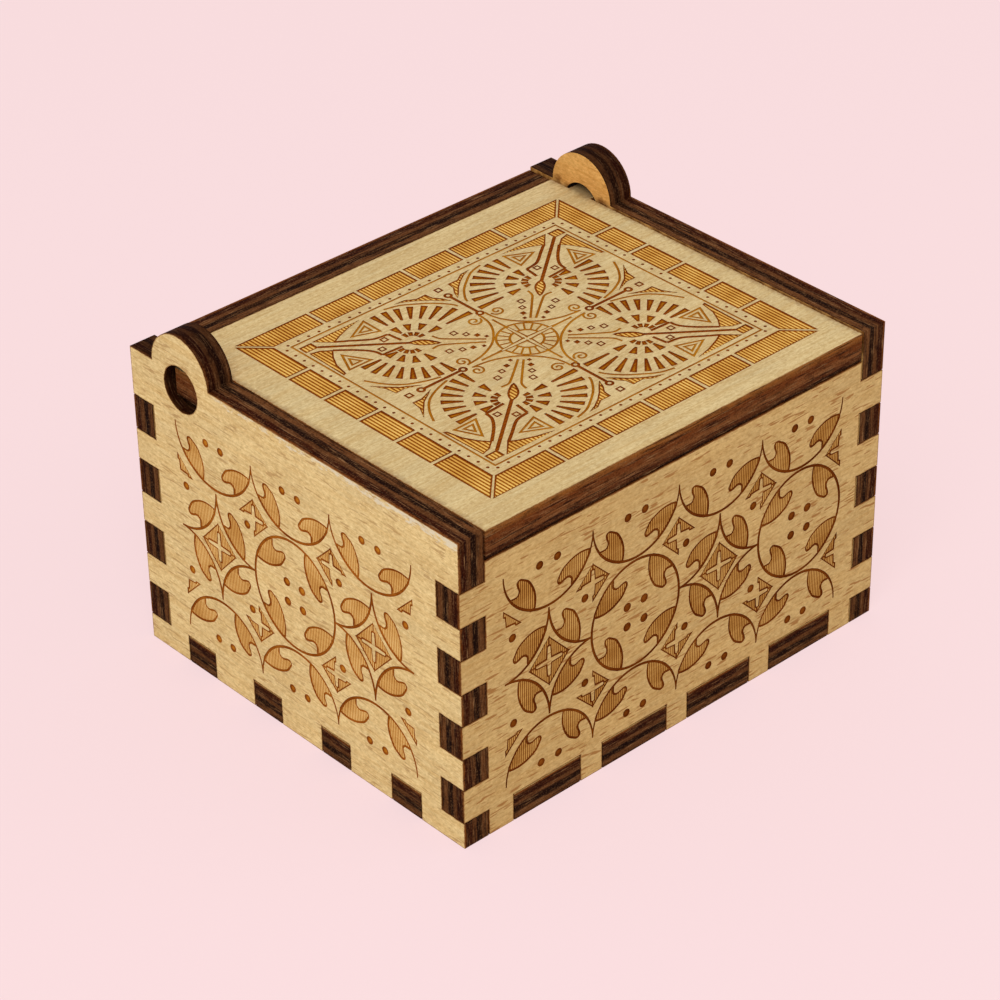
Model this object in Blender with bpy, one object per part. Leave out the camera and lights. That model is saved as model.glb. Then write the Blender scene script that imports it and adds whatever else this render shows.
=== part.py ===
"""Hand-cranked wooden music box.

A finger-jointed plywood case with a hinged lid stands over an 18-note comb movement. The
crank turns a worm, the worm turns the wheel on the pinned cylinder's arbor, and the pins
pass the tips of the comb. Lengths are in metres, +Z is up and the front of the box faces
-Y. The origin is the centre of the bottom panel's underside.
"""
import math

import bmesh
import bpy
from mathutils import Matrix, Vector

MM = 0.001

# Plywood case
CASE_WIDTH = 65.0 * MM
CASE_DEPTH = 55.0 * MM
SIDE_HEIGHT = 40.0 * MM
PLY = 3.5 * MM
BACK_DROP = 0.4 * MM
KERF_GAP = 0.15 * MM
SEAT_GAP = 0.3 * MM
FINGER = 4.3 * MM
LONG_TAB = 9.9 * MM
LONG_TAB_SPACE = 3.55 * MM
SHORT_TAB = 4.7 * MM
SHORT_TAB_SPACE = 7.3 * MM
TAB_MARGIN = 2.0 * MM
CRANK_HOLE_CLEARANCE = 0.9 * MM

# Lid and its wooden hinge
LID_DROP = 0.1 * MM
LID_SIDE_GAP = 0.3 * MM
HINGE_INSET = 9.0 * MM
HINGE_TAB = 3.7 * MM
HINGE_TAB_RECESS = 0.85 * MM
HINGE_CLEARANCE = 0.4 * MM
SWING_CLEARANCE = 0.2 * MM
EAR_RADIUS = 5.0 * MM

# Pinned cylinder and arbor
CYLINDER_X = 10.0 * MM
CYLINDER_RADIUS = 6.5 * MM
CYLINDER_LENGTH = 25.0 * MM
CYLINDER_WALL = 0.8 * MM
PIN_HEIGHT = 0.5 * MM
PIN_RADIUS = 0.22 * MM
PIN_BEATS = 40
CAP_THICKNESS = 1.6 * MM
ARBOR_RADIUS = 1.0 * MM
RUNNING_GAP = 0.3 * MM
CYLINDER_FLOOR_GAP = 0.4 * MM

# Comb
NOTES = 18
NOTE_PITCH = 1.3 * MM
TOOTH_SLOT = 0.3 * MM
COMB_LENGTH = 21.0 * MM
COMB_THICKNESS = 1.0 * MM
COMB_RISE = 0.4 * MM
TOOTH_RELIEF = 0.4 * MM
BASS_TOOTH = 14.5 * MM
TREBLE_TOOTH = 9.5 * MM
TIP_CLEARANCE = 0.15 * MM
WEIGHTED_NOTES = 6
BASS_WEIGHT = 3.4 * MM
WEIGHT_STEP = 0.35 * MM
WEIGHT_HEIGHT = 1.5 * MM
WEIGHT_SETBACK = 1.0 * MM

# Worm and wheel
GEAR_MODULE = 0.5 * MM
WHEEL_TEETH = 20
WHEEL_WIDTH = 2.4 * MM
WHEEL_HUB_RADIUS = 2.6 * MM
WORM_PITCH_RADIUS = 2.6 * MM
WORM_THREAD_LENGTH = 8.4 * MM
WORM_HUB = 2.1 * MM
WORM_STEPS = 20
ADDENDUM = 0.9
DEDENDUM = 1.25
TIP_LAND = 0.6
ROOT_LAND = 1.7

# Bed and bearings
BED_THICKNESS = 1.8 * MM
BED_CORNER = 2.5 * MM
BED_EDGE = 1.6 * MM
BED_RIGHT = 24.4 * MM
REAR_SHARE = 0.3  # part of the case's spare depth that lies behind the bed
BOSS_RADIUS = 2.2 * MM
BOSS_HEIGHT = 2.0 * MM
BEARING_WALL = 1.6 * MM
BEARING_LUG_RADIUS = 2.8 * MM
LEDGE_DEPTH = 6.7 * MM
BRACKET_WALL = 1.4 * MM
BRACKET_LUG_RADIUS = 3.2 * MM
BRACKET_FOOT = 4.2 * MM
CLIP_RADIUS = 2.0 * MM
CLIP_THICKNESS = 0.5 * MM

# Crank
SHAFT_RADIUS = 1.2 * MM
CRANK_STANDOFF = 0.7 * MM
CRANK_HUB_RADIUS = 2.2 * MM
CRANK_HUB_LENGTH = 5.0 * MM
CRANK_BORE_DEPTH = 4.0 * MM
CRANK_ROD_RADIUS = 1.0 * MM
CRANK_BEND = 2.4 * MM
CRANK_REACH = 1.2 * MM
CRANK_ARM = 12.5 * MM
KNOB_LENGTH = 9.0 * MM
KNOB_RADIUS = 2.9 * MM
KNOB_COUNTERBORE = 1.3 * MM
RIVET_RADIUS = 1.6 * MM
RIVET_HEIGHT = 0.7 * MM

# Screws
CASE_SCREW_RADIUS = 1.0 * MM
CASE_SCREW_HEAD = 2.4 * MM
SMALL_SCREW_RADIUS = 0.9 * MM
SMALL_SCREW_HEAD = 1.7 * MM
SMALL_HEAD_HEIGHT = 1.2 * MM
SMALL_SCREW_LENGTH = 4.0 * MM
SLOT_WIDTH = 0.5 * MM
SLOT_DEPTH = 0.5 * MM

# Facets of round parts
ROUND = 40
SMALL_ROUND = 20

# Places worked out from the sizes above
HALF_WIDTH = CASE_WIDTH / 2
HALF_DEPTH = CASE_DEPTH / 2
INNER_X = HALF_WIDTH - PLY
INNER_Y = HALF_DEPTH - PLY
LID_TOP = SIDE_HEIGHT - LID_DROP
LID_BOTTOM = LID_TOP - PLY
FRONT_TOP = LID_BOTTOM - SEAT_GAP
BACK_TOP = SIDE_HEIGHT - BACK_DROP
HINGE_Y = HALF_DEPTH - HINGE_INSET
HINGE_Z = LID_TOP - PLY / 2
HINGE_HOLE_RADIUS = math.hypot(PLY / 2, HINGE_TAB / 2) + HINGE_CLEARANCE
LID_REAR_REACH = math.sqrt((HINGE_INSET - PLY - SWING_CLEARANCE) ** 2 - (PLY / 2) ** 2)
BED_BOTTOM = PLY + SEAT_GAP
BED_TOP = BED_BOTTOM + BED_THICKNESS
PIN_CIRCLE = CYLINDER_RADIUS + PIN_HEIGHT
AXIS_Z = BED_TOP + PIN_CIRCLE + CYLINDER_FLOOR_GAP
WHEEL_PITCH_RADIUS = GEAR_MODULE * WHEEL_TEETH / 2
WHEEL_TIP = WHEEL_PITCH_RADIUS + ADDENDUM * GEAR_MODULE
WHEEL_ROOT = WHEEL_PITCH_RADIUS - DEDENDUM * GEAR_MODULE
WORM_TIP = WORM_PITCH_RADIUS + ADDENDUM * GEAR_MODULE
WORM_ROOT = WORM_PITCH_RADIUS - DEDENDUM * GEAR_MODULE
WORM_LEAD = math.pi * GEAR_MODULE
FRONT_REACH = CYLINDER_LENGTH / 2 + RUNNING_GAP * 2 + BEARING_WALL + BED_EDGE
WORM_REACH = CYLINDER_LENGTH / 2 + 2 * RUNNING_GAP + SEAT_GAP + WORM_TIP
REAR_REACH = WORM_REACH + WORM_TIP + BRACKET_WALL + BRACKET_FOOT + 2 * RUNNING_GAP
DEPTH_TO_SPARE = 2 * INNER_Y - FRONT_REACH - REAR_REACH
CYLINDER_MID_Y = INNER_Y - REAR_SHARE * DEPTH_TO_SPARE - REAR_REACH
CYLINDER_FRONT = CYLINDER_MID_Y - CYLINDER_LENGTH / 2
CYLINDER_BACK = CYLINDER_MID_Y + CYLINDER_LENGTH / 2
WORM_Y = CYLINDER_MID_Y + WORM_REACH
WORM_Z = AXIS_Z + WHEEL_PITCH_RADIUS + WORM_PITCH_RADIUS
CHEEK_INNER = WORM_THREAD_LENGTH / 2 + WORM_HUB + RUNNING_GAP
BRACKET_FRONT = WORM_Y + WORM_TIP + RUNNING_GAP
BRACKET_BACK = BRACKET_FRONT + BRACKET_WALL
FOOT_BACK = BRACKET_BACK + BRACKET_FOOT
LUG_BACK = CYLINDER_FRONT - RUNNING_GAP * 2
LUG_FRONT = LUG_BACK - BEARING_WALL
COMB_BOTTOM = AXIS_Z + COMB_RISE
COMB_TOP = COMB_BOTTOM + COMB_THICKNESS
TOOTH_BOTTOM = COMB_BOTTOM + TOOTH_RELIEF
TIP_RISE = TOOTH_BOTTOM - AXIS_Z
TIP_X = CYLINDER_X - math.sqrt(PIN_CIRCLE ** 2 - TIP_RISE ** 2) - TIP_CLEARANCE
COMB_BACK_X = TIP_X - COMB_LENGTH
COMB_WIDTH = NOTES * NOTE_PITCH
COMB_Y = CYLINDER_MID_Y - COMB_WIDTH / 2
LEDGE_TOP = COMB_BOTTOM - SEAT_GAP
BED_LEFT = COMB_BACK_X - BED_EDGE
BED_FRONT = LUG_FRONT - BED_EDGE
BED_BACK = FOOT_BACK + RUNNING_GAP
BOSS_INSET = BOSS_RADIUS + BED_EDGE / 2
CRANK_HUB_X = HALF_WIDTH + CRANK_STANDOFF
CRANK_ROD_X = CRANK_HUB_X + CRANK_HUB_LENGTH
CRANK_ARM_X = CRANK_ROD_X + CRANK_REACH + CRANK_BEND
KNOB_Z = WORM_Z - CRANK_ARM
KNOB_X = CRANK_ARM_X + CRANK_BEND + RUNNING_GAP

# Frames that turn a local (u, v, w) into world axes: w is the extrusion or turning axis
ALONG_X = Matrix(((0, 0, 1, 0), (1, 0, 0, 0), (0, 1, 0, 0), (0, 0, 0, 1)))
ALONG_Y = Matrix(((1, 0, 0, 0), (0, 0, 1, 0), (0, -1, 0, 0), (0, 0, 0, 1)))
ALONG_Z = Matrix.Identity(4)

WOOD = ("plywood", (0.66, 0.45, 0.25), 0.75, 0.0)
STEEL = ("steel", (0.62, 0.62, 0.60), 0.32, 1.0)
BRASS = ("brass", (0.80, 0.58, 0.26), 0.30, 1.0)
ZINC = ("zinc", (0.60, 0.58, 0.52), 0.45, 1.0)
LEAD = ("lead", (0.30, 0.31, 0.33), 0.60, 1.0)
NYLON = ("nylon", (0.82, 0.80, 0.74), 0.45, 0.0)


def clear_scene():
    """Remove every object that the file starts with."""
    for obj in list(bpy.data.objects):
        bpy.data.objects.remove(obj, do_unlink=True)


def material(finish):
    """Principled material from (name, colour, roughness, metallic), made once."""
    name, colour, roughness, metallic = finish
    found = bpy.data.materials.get(name)
    if found:
        return found
    made = bpy.data.materials.new(name)
    made.use_nodes = True
    shader = made.node_tree.nodes["Principled BSDF"]
    shader.inputs["Base Color"].default_value = (*colour, 1.0)
    shader.inputs["Roughness"].default_value = roughness
    shader.inputs["Metallic"].default_value = metallic
    return made


def add_object(name, bm, finish, smooth=False):
    """Turn a bmesh in world coordinates into a named object."""
    bmesh.ops.recalc_face_normals(bm, faces=bm.faces)
    mesh = bpy.data.meshes.new(name)
    bm.to_mesh(mesh)
    bm.free()
    if smooth:
        mesh.shade_smooth()
        mesh.set_sharp_from_angle(angle=math.radians(35))
    mesh.materials.append(material(finish))
    obj = bpy.data.objects.new(name, mesh)
    bpy.context.scene.collection.objects.link(obj)
    return obj


def combine(target, name, bm, operation):
    """Add or cut a shape with an exact Boolean; the tool shape stays as a hidden wire."""
    tool = add_object(name, bm, ZINC)
    tool.hide_render = True
    tool.display_type = "WIRE"
    tool.data.materials.clear()
    modifier = target.modifiers.new(name, "BOOLEAN")
    modifier.operation = operation
    modifier.solver = "EXACT"
    modifier.object = tool


def cut(target, name, bm):
    combine(target, name, bm, "DIFFERENCE")


def join(target, name, bm):
    combine(target, name, bm, "UNION")


def axis_empty(name, place):
    """Empty on a joint's axis that carries the pieces turning about it."""
    empty = bpy.data.objects.new(name, None)
    empty.empty_display_size = 4 * MM
    empty.location = place
    bpy.context.scene.collection.objects.link(empty)
    return empty


def carry(obj, empty):
    """Put a piece's origin on its joint axis and hang it on the axis's empty."""
    obj.data.transform(Matrix.Translation(-Vector(empty.location)))
    obj.parent = empty


def prism(outline, low, high, frame=ALONG_Z):
    """Extrude a closed 2-D outline from low to high along the frame's third axis."""
    bm = bmesh.new()
    bottom = [bm.verts.new((u, v, low)) for u, v in outline]
    top = [bm.verts.new((u, v, high)) for u, v in outline]
    bm.faces.new(list(reversed(bottom)))
    bm.faces.new(top)
    count = len(outline)
    for i in range(count):
        j = (i + 1) % count
        bm.faces.new((bottom[i], bottom[j], top[j], top[i]))
    bm.transform(frame)
    return bm


def box(low, high):
    """Block between two opposite corners."""
    outline = [(low[0], low[1]), (high[0], low[1]), (high[0], high[1]), (low[0], high[1])]
    return prism(outline, low[2], high[2])


def turned(profile, centre, frame, steps=SMALL_ROUND, hollow=False):
    """Revolve (radius, height) points about the frame's third axis through the centre.

    The first and last points end in flat faces, or they meet in a closed ring if hollow.
    """
    bm = bmesh.new()
    rings = []
    for radius, height in profile:
        circle = []
        for i in range(steps):
            angle = 2 * math.pi * i / steps
            circle.append(bm.verts.new((radius * math.cos(angle), radius * math.sin(angle), height)))
        rings.append(circle)
    if hollow:
        rings.append(rings[0])
    else:
        bm.faces.new(list(reversed(rings[0])))
        bm.faces.new(rings[-1])
    for first, second in zip(rings, rings[1:]):
        for i in range(steps):
            j = (i + 1) % steps
            bm.faces.new((first[i], first[j], second[j], second[i]))
    bm.transform(Matrix.Translation(centre) @ frame)
    return bm


def rod(radius, low, high, centre, frame, steps=SMALL_ROUND):
    """Plain cylinder between two heights along the frame's third axis."""
    return turned([(radius, low), (radius, high)], centre, frame, steps)


def ring(inner, outer, low, high, centre, frame, steps=SMALL_ROUND):
    """Plain tube between two heights."""
    profile = [(inner, low), (outer, low), (outer, high), (inner, high)]
    return turned(profile, centre, frame, steps, True)


def arc(centre, radius, start, end, steps):
    """Points on an arc, both ends included, angles in degrees."""
    points = []
    for i in range(steps + 1):
        angle = math.radians(start + (end - start) * i / steps)
        points.append((centre[0] + radius * math.cos(angle), centre[1] + radius * math.sin(angle)))
    return points


def rounded_rectangle(low, high, radius, steps=5):
    """Rectangle outline with round corners."""
    points = arc((high[0] - radius, low[1] + radius), radius, -90, 0, steps)
    points += arc((high[0] - radius, high[1] - radius), radius, 0, 90, steps)
    points += arc((low[0] + radius, high[1] - radius), radius, 90, 180, steps)
    points += arc((low[0] + radius, low[1] + radius), radius, 180, 270, steps)
    return points


def tab_spans(length, tab, space):
    """Evenly spread tabs centred on an edge, as (start, end) pairs from the middle."""
    pitch = tab + space
    count = int((length - 2 * TAB_MARGIN + space) // pitch)
    spans = []
    for i in range(count):
        middle = (i - (count - 1) / 2) * pitch
        spans.append((middle - tab / 2, middle + tab / 2))
    return spans


def finger_spans():
    """Heights of the front and back panels' fingers, from the floor panel upwards."""
    count = int((FRONT_TOP - TAB_MARGIN / 2 - PLY + FINGER) // (2 * FINGER))
    spans = []
    for i in range(count):
        start = PLY + 2 * i * FINGER
        spans.append((start, start + FINGER))
    return spans


FLOOR_TABS_X = tab_spans(2 * INNER_X, LONG_TAB, LONG_TAB_SPACE)
FLOOR_TABS_Y = tab_spans(2 * INNER_Y, SHORT_TAB, SHORT_TAB_SPACE)
FINGERS = finger_spans()


def notched_floor_edge(spans):
    """Bottom edge of a wall, from left to right, with a notch round each floor tab."""
    points = []
    for start, end in spans:
        points.append((start - KERF_GAP, 0.0))
        points.append((start - KERF_GAP, PLY + KERF_GAP))
        points.append((end + KERF_GAP, PLY + KERF_GAP))
        points.append((end + KERF_GAP, 0.0))
    return points


def stepped_edge(spans, near, far, grow):
    """Rising edge at 'near' that steps to 'far' over each span, each span grown by 'grow'."""
    points = []
    for start, end in spans:
        points.append((near, start - grow))
        points.append((far, start - grow))
        points.append((far, end + grow))
        points.append((near, end + grow))
    return points


def mirrored(points):
    """The same edge on the other side, walked downwards."""
    return [(-u, v) for u, v in reversed(points)]


def side_panel(name, inner_face, outer_face):
    """Side wall with finger notches, floor notches and the round ear over the hinge hole."""
    edge = stepped_edge(FINGERS, HALF_DEPTH, INNER_Y - KERF_GAP, KERF_GAP)
    outline = [(-HALF_DEPTH, 0.0)]
    outline += notched_floor_edge(FLOOR_TABS_Y)
    outline.append((HALF_DEPTH, 0.0))
    outline += edge
    outline.append((HALF_DEPTH, SIDE_HEIGHT))
    outline += arc((HINGE_Y, SIDE_HEIGHT), EAR_RADIUS, 0, 180, 24)
    outline.append((-HALF_DEPTH, SIDE_HEIGHT))
    outline += mirrored(edge)
    low, high = sorted((inner_face, outer_face))
    panel = add_object(name, prism(outline, low, high, ALONG_X), WOOD)
    hole = rod(HINGE_HOLE_RADIUS, low - PLY, high + PLY, (0, HINGE_Y, HINGE_Z), ALONG_X, ROUND)
    cut(panel, name + "_hinge_hole", hole)
    return panel


def left_panel():
    side_panel("left_panel", -INNER_X, -HALF_WIDTH)


def right_panel():
    """Right wall, which the crank shaft passes through."""
    panel = side_panel("right_panel", INNER_X, HALF_WIDTH)
    radius = SHAFT_RADIUS + CRANK_HOLE_CLEARANCE
    hole = rod(radius, INNER_X - PLY, HALF_WIDTH + PLY, (0, WORM_Y, WORM_Z), ALONG_X, 28)
    cut(panel, "crank_shaft_hole", hole)


def end_panel(name, inner_face, outer_face, top):
    """Front or back wall, whose fingers pass through the side walls."""
    shoulder = INNER_X - KERF_GAP
    edge = stepped_edge(FINGERS, shoulder, HALF_WIDTH, 0.0)
    outline = [(-shoulder, 0.0)]
    outline += notched_floor_edge(FLOOR_TABS_X)
    outline.append((shoulder, 0.0))
    outline += edge
    outline.append((shoulder, top))
    outline.append((-shoulder, top))
    outline += mirrored(edge)
    low, high = sorted((inner_face, outer_face))
    flipped = [(u, -v) for u, v in outline]
    return add_object(name, prism(flipped, low, high, ALONG_Y), WOOD)


def bottom_panel():
    """Floor with tabs through all four walls and countersunk holes for the movement."""
    shoulder_x = INNER_X - KERF_GAP
    shoulder_y = INNER_Y - KERF_GAP
    front = [(-shoulder_x, -shoulder_y)]
    for start, end in FLOOR_TABS_X:
        front.append((start, -shoulder_y))
        front.append((start, -HALF_DEPTH))
        front.append((end, -HALF_DEPTH))
        front.append((end, -shoulder_y))
    right = [(shoulder_x, -shoulder_y)]
    for start, end in FLOOR_TABS_Y:
        right.append((shoulder_x, start))
        right.append((HALF_WIDTH, start))
        right.append((HALF_WIDTH, end))
        right.append((shoulder_x, end))
    outline = front + right
    outline += [(-u, -v) for u, v in outline]
    panel = add_object("bottom_panel", prism(outline, 0.0, PLY), WOOD)
    hole = CASE_SCREW_RADIUS + SEAT_GAP
    mouth = CASE_SCREW_HEAD + SEAT_GAP
    for i, (x, y) in enumerate(bed_screw_places()):
        profile = [(mouth, -PLY), (mouth, SEAT_GAP), (hole, mouth - hole + SEAT_GAP), (hole, 2 * PLY)]
        cut(panel, "countersink_%d" % (i + 1), turned(profile, (x, y, 0.0), ALONG_Z))


def lid(axis):
    """Lid board, with a square tab at each side that turns in the ears' holes."""
    side = INNER_X - LID_SIDE_GAP
    tip = HALF_WIDTH - HINGE_TAB_RECESS
    rear = HINGE_Y + LID_REAR_REACH
    tab_front = HINGE_Y - HINGE_TAB / 2
    tab_back = HINGE_Y + HINGE_TAB / 2
    right = [(side, -HALF_DEPTH), (side, tab_front), (tip, tab_front)]
    right += [(tip, tab_back), (side, tab_back), (side, rear)]
    outline = right + mirrored(right)
    board = add_object("lid", prism(outline, LID_BOTTOM, LID_TOP), WOOD)
    carry(board, axis)


def bed_screw_places():
    """Three screws hold the bed: two beside the comb, one on the crank's side."""
    left = BED_LEFT + BOSS_INSET
    front = BED_FRONT + BOSS_INSET
    back = COMB_Y + COMB_WIDTH + BOSS_RADIUS + BED_EDGE
    right = BED_RIGHT - BOSS_INSET
    return [(left, front), (left, back), (right, CYLINDER_MID_Y)]


def comb_screw_places():
    """Two screws through the comb's thick end."""
    x = COMB_BACK_X + LEDGE_DEPTH / 2
    spread = COMB_WIDTH * 0.3
    return [(x, CYLINDER_MID_Y - spread), (x, CYLINDER_MID_Y + spread)]


def foot_screw_places():
    """Two screws through the bracket's foot."""
    y = BRACKET_BACK + BRACKET_FOOT / 2
    spread = CHEEK_INNER * 0.7
    return [(CYLINDER_X - spread, y), (CYLINDER_X + spread, y)]


def movement_bed():
    """Cast bed with the comb's ledge, screw bosses and the arbor's front bearing."""
    plate = rounded_rectangle((BED_LEFT, BED_FRONT), (BED_RIGHT, BED_BACK), BED_CORNER)
    bed = add_object("movement_bed", prism(plate, BED_BOTTOM, BED_TOP), ZINC, True)
    sunk = BED_TOP - BED_THICKNESS / 2
    ledge_low = (COMB_BACK_X, COMB_Y)
    ledge_high = (COMB_BACK_X + LEDGE_DEPTH, COMB_Y + COMB_WIDTH)
    ledge = rounded_rectangle(ledge_low, ledge_high, BED_CORNER / 3, 3)
    join(bed, "comb_ledge", prism(ledge, sunk, LEDGE_TOP))
    for i, (x, y) in enumerate(bed_screw_places()):
        boss = rod(BOSS_RADIUS, sunk, BED_TOP + BOSS_HEIGHT, (x, y, 0.0), ALONG_Z)
        join(bed, "bed_boss_%d" % (i + 1), boss)
    foot = BEARING_LUG_RADIUS * 1.8
    lug = [(CYLINDER_X - foot, -sunk), (CYLINDER_X + foot, -sunk)]
    lug += [(u, -v) for u, v in arc((CYLINDER_X, AXIS_Z), BEARING_LUG_RADIUS, 0, 180, 14)]
    join(bed, "front_bearing_lug", prism(lug, LUG_FRONT, LUG_BACK, ALONG_Y))
    reach = PIN_CIRCLE + RUNNING_GAP
    window_low = (CYLINDER_X - reach, CYLINDER_FRONT - RUNNING_GAP)
    window_high = (CYLINDER_X + reach, CYLINDER_BACK + RUNNING_GAP)
    window = rounded_rectangle(window_low, window_high, BED_CORNER / 2)
    cut(bed, "cylinder_window", prism(window, BED_BOTTOM - BED_THICKNESS, BED_TOP + RUNNING_GAP))
    bearing = rod(ARBOR_RADIUS + RUNNING_GAP, LUG_FRONT - BEARING_WALL, LUG_BACK + BEARING_WALL,
                  (CYLINDER_X, 0.0, AXIS_Z), ALONG_Y)
    cut(bed, "front_bearing", bearing)
    for i, (x, y) in enumerate(bed_screw_places()):
        hole = rod(CASE_SCREW_RADIUS + SEAT_GAP, 0.0, LEDGE_TOP, (x, y, 0.0), ALONG_Z)
        cut(bed, "bed_screw_hole_%d" % (i + 1), hole)
    for i, (x, y) in enumerate(comb_screw_places()):
        floor = COMB_TOP - SMALL_SCREW_LENGTH - SEAT_GAP
        hole = rod(SMALL_SCREW_RADIUS + SEAT_GAP, floor, COMB_TOP, (x, y, 0.0), ALONG_Z)
        cut(bed, "comb_screw_hole_%d" % (i + 1), hole)
    for i, (x, y) in enumerate(foot_screw_places()):
        hole = rod(SMALL_SCREW_RADIUS + SEAT_GAP, 0.0, BED_TOP + PLY, (x, y, 0.0), ALONG_Z)
        cut(bed, "foot_screw_hole_%d" % (i + 1), hole)


def worm_bracket():
    """Bracket behind the wheel: arbor's back bearing, and two cheeks for the worm shaft."""
    bottom = BED_TOP + SEAT_GAP
    half = CHEEK_INNER + BRACKET_WALL
    top = WORM_Z + BRACKET_LUG_RADIUS
    corner = BRACKET_LUG_RADIUS * 0.6
    wall = [(CYLINDER_X - half, -bottom), (CYLINDER_X + half, -bottom)]
    wall += [(u, -v) for u, v in arc((CYLINDER_X + half - corner, top - corner), corner, 0, 90, 5)]
    wall += [(u, -v) for u, v in arc((CYLINDER_X - half + corner, top - corner), corner, 90, 180, 5)]
    bracket = add_object("worm_bracket", prism(wall, BRACKET_FRONT, BRACKET_BACK, ALONG_Y), ZINC, True)
    for side, name in ((-1, "inner_cheek"), (1, "outer_cheek")):
        cheek = [(BRACKET_BACK - BRACKET_WALL / 2, WORM_Z - BRACKET_LUG_RADIUS)]
        cheek.append((BRACKET_BACK - BRACKET_WALL / 2, WORM_Z + BRACKET_LUG_RADIUS * 0.8))
        cheek += arc((WORM_Y, WORM_Z), BRACKET_LUG_RADIUS, 90, 270, 14)
        faces = sorted((CYLINDER_X + side * CHEEK_INNER, CYLINDER_X + side * half))
        join(bracket, name, prism(cheek, faces[0], faces[1], ALONG_X))
    foot = rounded_rectangle((CYLINDER_X - half, BRACKET_FRONT + BRACKET_WALL / 2),
                             (CYLINDER_X + half, FOOT_BACK), BRACKET_WALL / 3, 3)
    join(bracket, "bracket_foot", prism(foot, bottom, bottom + BRACKET_WALL))
    bearing = rod(ARBOR_RADIUS + RUNNING_GAP, BRACKET_FRONT - BRACKET_WALL, FOOT_BACK + BRACKET_WALL,
                  (CYLINDER_X, 0.0, AXIS_Z), ALONG_Y)
    cut(bracket, "back_bearing", bearing)
    shaft_hole = rod(SHAFT_RADIUS + RUNNING_GAP, -2 * half, 2 * half,
                     (CYLINDER_X, WORM_Y, WORM_Z), ALONG_X)
    cut(bracket, "shaft_bearings", shaft_hole)
    for i, (x, y) in enumerate(foot_screw_places()):
        hole = rod(SMALL_SCREW_RADIUS + SEAT_GAP, 0.0, bottom + 2 * BRACKET_WALL, (x, y, 0.0), ALONG_Z)
        cut(bracket, "foot_hole_%d" % (i + 1), hole)


def comb():
    """Steel comb: one tooth for each note, the bass teeth longest, thinned behind the tips."""
    outline = [(COMB_BACK_X, COMB_Y + COMB_WIDTH - TOOTH_SLOT / 2), (COMB_BACK_X, COMB_Y + TOOTH_SLOT / 2)]
    for i in range(NOTES):
        start = COMB_Y + i * NOTE_PITCH + TOOTH_SLOT / 2
        end = start + NOTE_PITCH - TOOTH_SLOT
        if i > 0:
            outline.append((TIP_X - tooth_length(i - 0.5), start))
        outline.append((TIP_X, start))
        outline.append((TIP_X, end))
        if i < NOTES - 1:
            outline.append((TIP_X - tooth_length(i + 0.5), end))
    plate = add_object("comb", prism(outline, COMB_BOTTOM, COMB_TOP), STEEL)
    thick_end = TOOTH_RELIEF * 2
    relief = [(TIP_X - tooth_length(0) + thick_end, COMB_Y - NOTE_PITCH)]
    relief += [(TIP_X + NOTE_PITCH, COMB_Y - NOTE_PITCH)]
    relief += [(TIP_X + NOTE_PITCH, COMB_Y + COMB_WIDTH + NOTE_PITCH)]
    relief += [(TIP_X - tooth_length(NOTES - 1) + thick_end, COMB_Y + COMB_WIDTH + NOTE_PITCH)]
    cut(plate, "tooth_relief", prism(relief, COMB_BOTTOM - COMB_THICKNESS, TOOTH_BOTTOM))
    for i, (x, y) in enumerate(comb_screw_places()):
        hole = rod(SMALL_SCREW_RADIUS + SEAT_GAP, LEDGE_TOP, COMB_TOP + SEAT_GAP, (x, y, 0.0), ALONG_Z)
        cut(plate, "comb_hole_%d" % (i + 1), hole)


def tooth_length(index):
    """Free length of a tooth, from the bass end to the treble end."""
    return BASS_TOOTH + (TREBLE_TOOTH - BASS_TOOTH) * index / (NOTES - 1)


def tooth_weights():
    """Lead weights under the bass teeth, each shorter than the last."""
    for i in range(WEIGHTED_NOTES):
        start = COMB_Y + i * NOTE_PITCH + TOOTH_SLOT / 2
        length = BASS_WEIGHT - i * WEIGHT_STEP
        front = TIP_X - WEIGHT_SETBACK
        top = TOOTH_BOTTOM - KERF_GAP
        low = (front - length, start, top - WEIGHT_HEIGHT)
        high = (front, start + NOTE_PITCH - TOOTH_SLOT, top)
        add_object("tooth_weight_%d" % (i + 1), box(low, high), LEAD)


def slotted_screw(name, x, y, seat):
    """Cheese-head screw with its head on the seat height and its shank pointing down."""
    top = seat + SEAT_GAP + SMALL_HEAD_HEIGHT
    foot = seat - SMALL_SCREW_LENGTH + COMB_THICKNESS
    bevel = SMALL_HEAD_HEIGHT * 0.25
    profile = [(SMALL_SCREW_RADIUS, foot), (SMALL_SCREW_RADIUS, seat + SEAT_GAP)]
    profile += [(SMALL_SCREW_HEAD, seat + SEAT_GAP), (SMALL_SCREW_HEAD, top - bevel)]
    profile.append((SMALL_SCREW_HEAD - bevel, top))
    screw = add_object(name, turned(profile, (x, y, 0.0), ALONG_Z), STEEL, True)
    low = (x - SLOT_WIDTH / 2, y - 2 * SMALL_SCREW_HEAD, top - SLOT_DEPTH)
    high = (x + SLOT_WIDTH / 2, y + 2 * SMALL_SCREW_HEAD, top + SLOT_DEPTH)
    cut(screw, name + "_slot", box(low, high))


def bed_screw(name, x, y):
    """Countersunk screw that comes up through the bottom panel into a boss of the bed."""
    head = SEAT_GAP
    neck = head + CASE_SCREW_HEAD - CASE_SCREW_RADIUS
    end = BED_TOP + BOSS_HEIGHT - SEAT_GAP
    profile = [(CASE_SCREW_HEAD, head), (CASE_SCREW_RADIUS, neck), (CASE_SCREW_RADIUS, end)]
    screw = add_object(name, turned(profile, (x, y, 0.0), ALONG_Z), STEEL, True)
    low = (x - SLOT_WIDTH / 2, y - 2 * CASE_SCREW_HEAD, head - SLOT_DEPTH)
    high = (x + SLOT_WIDTH / 2, y + 2 * CASE_SCREW_HEAD, head + SLOT_DEPTH)
    cut(screw, name + "_slot", box(low, high))


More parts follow.
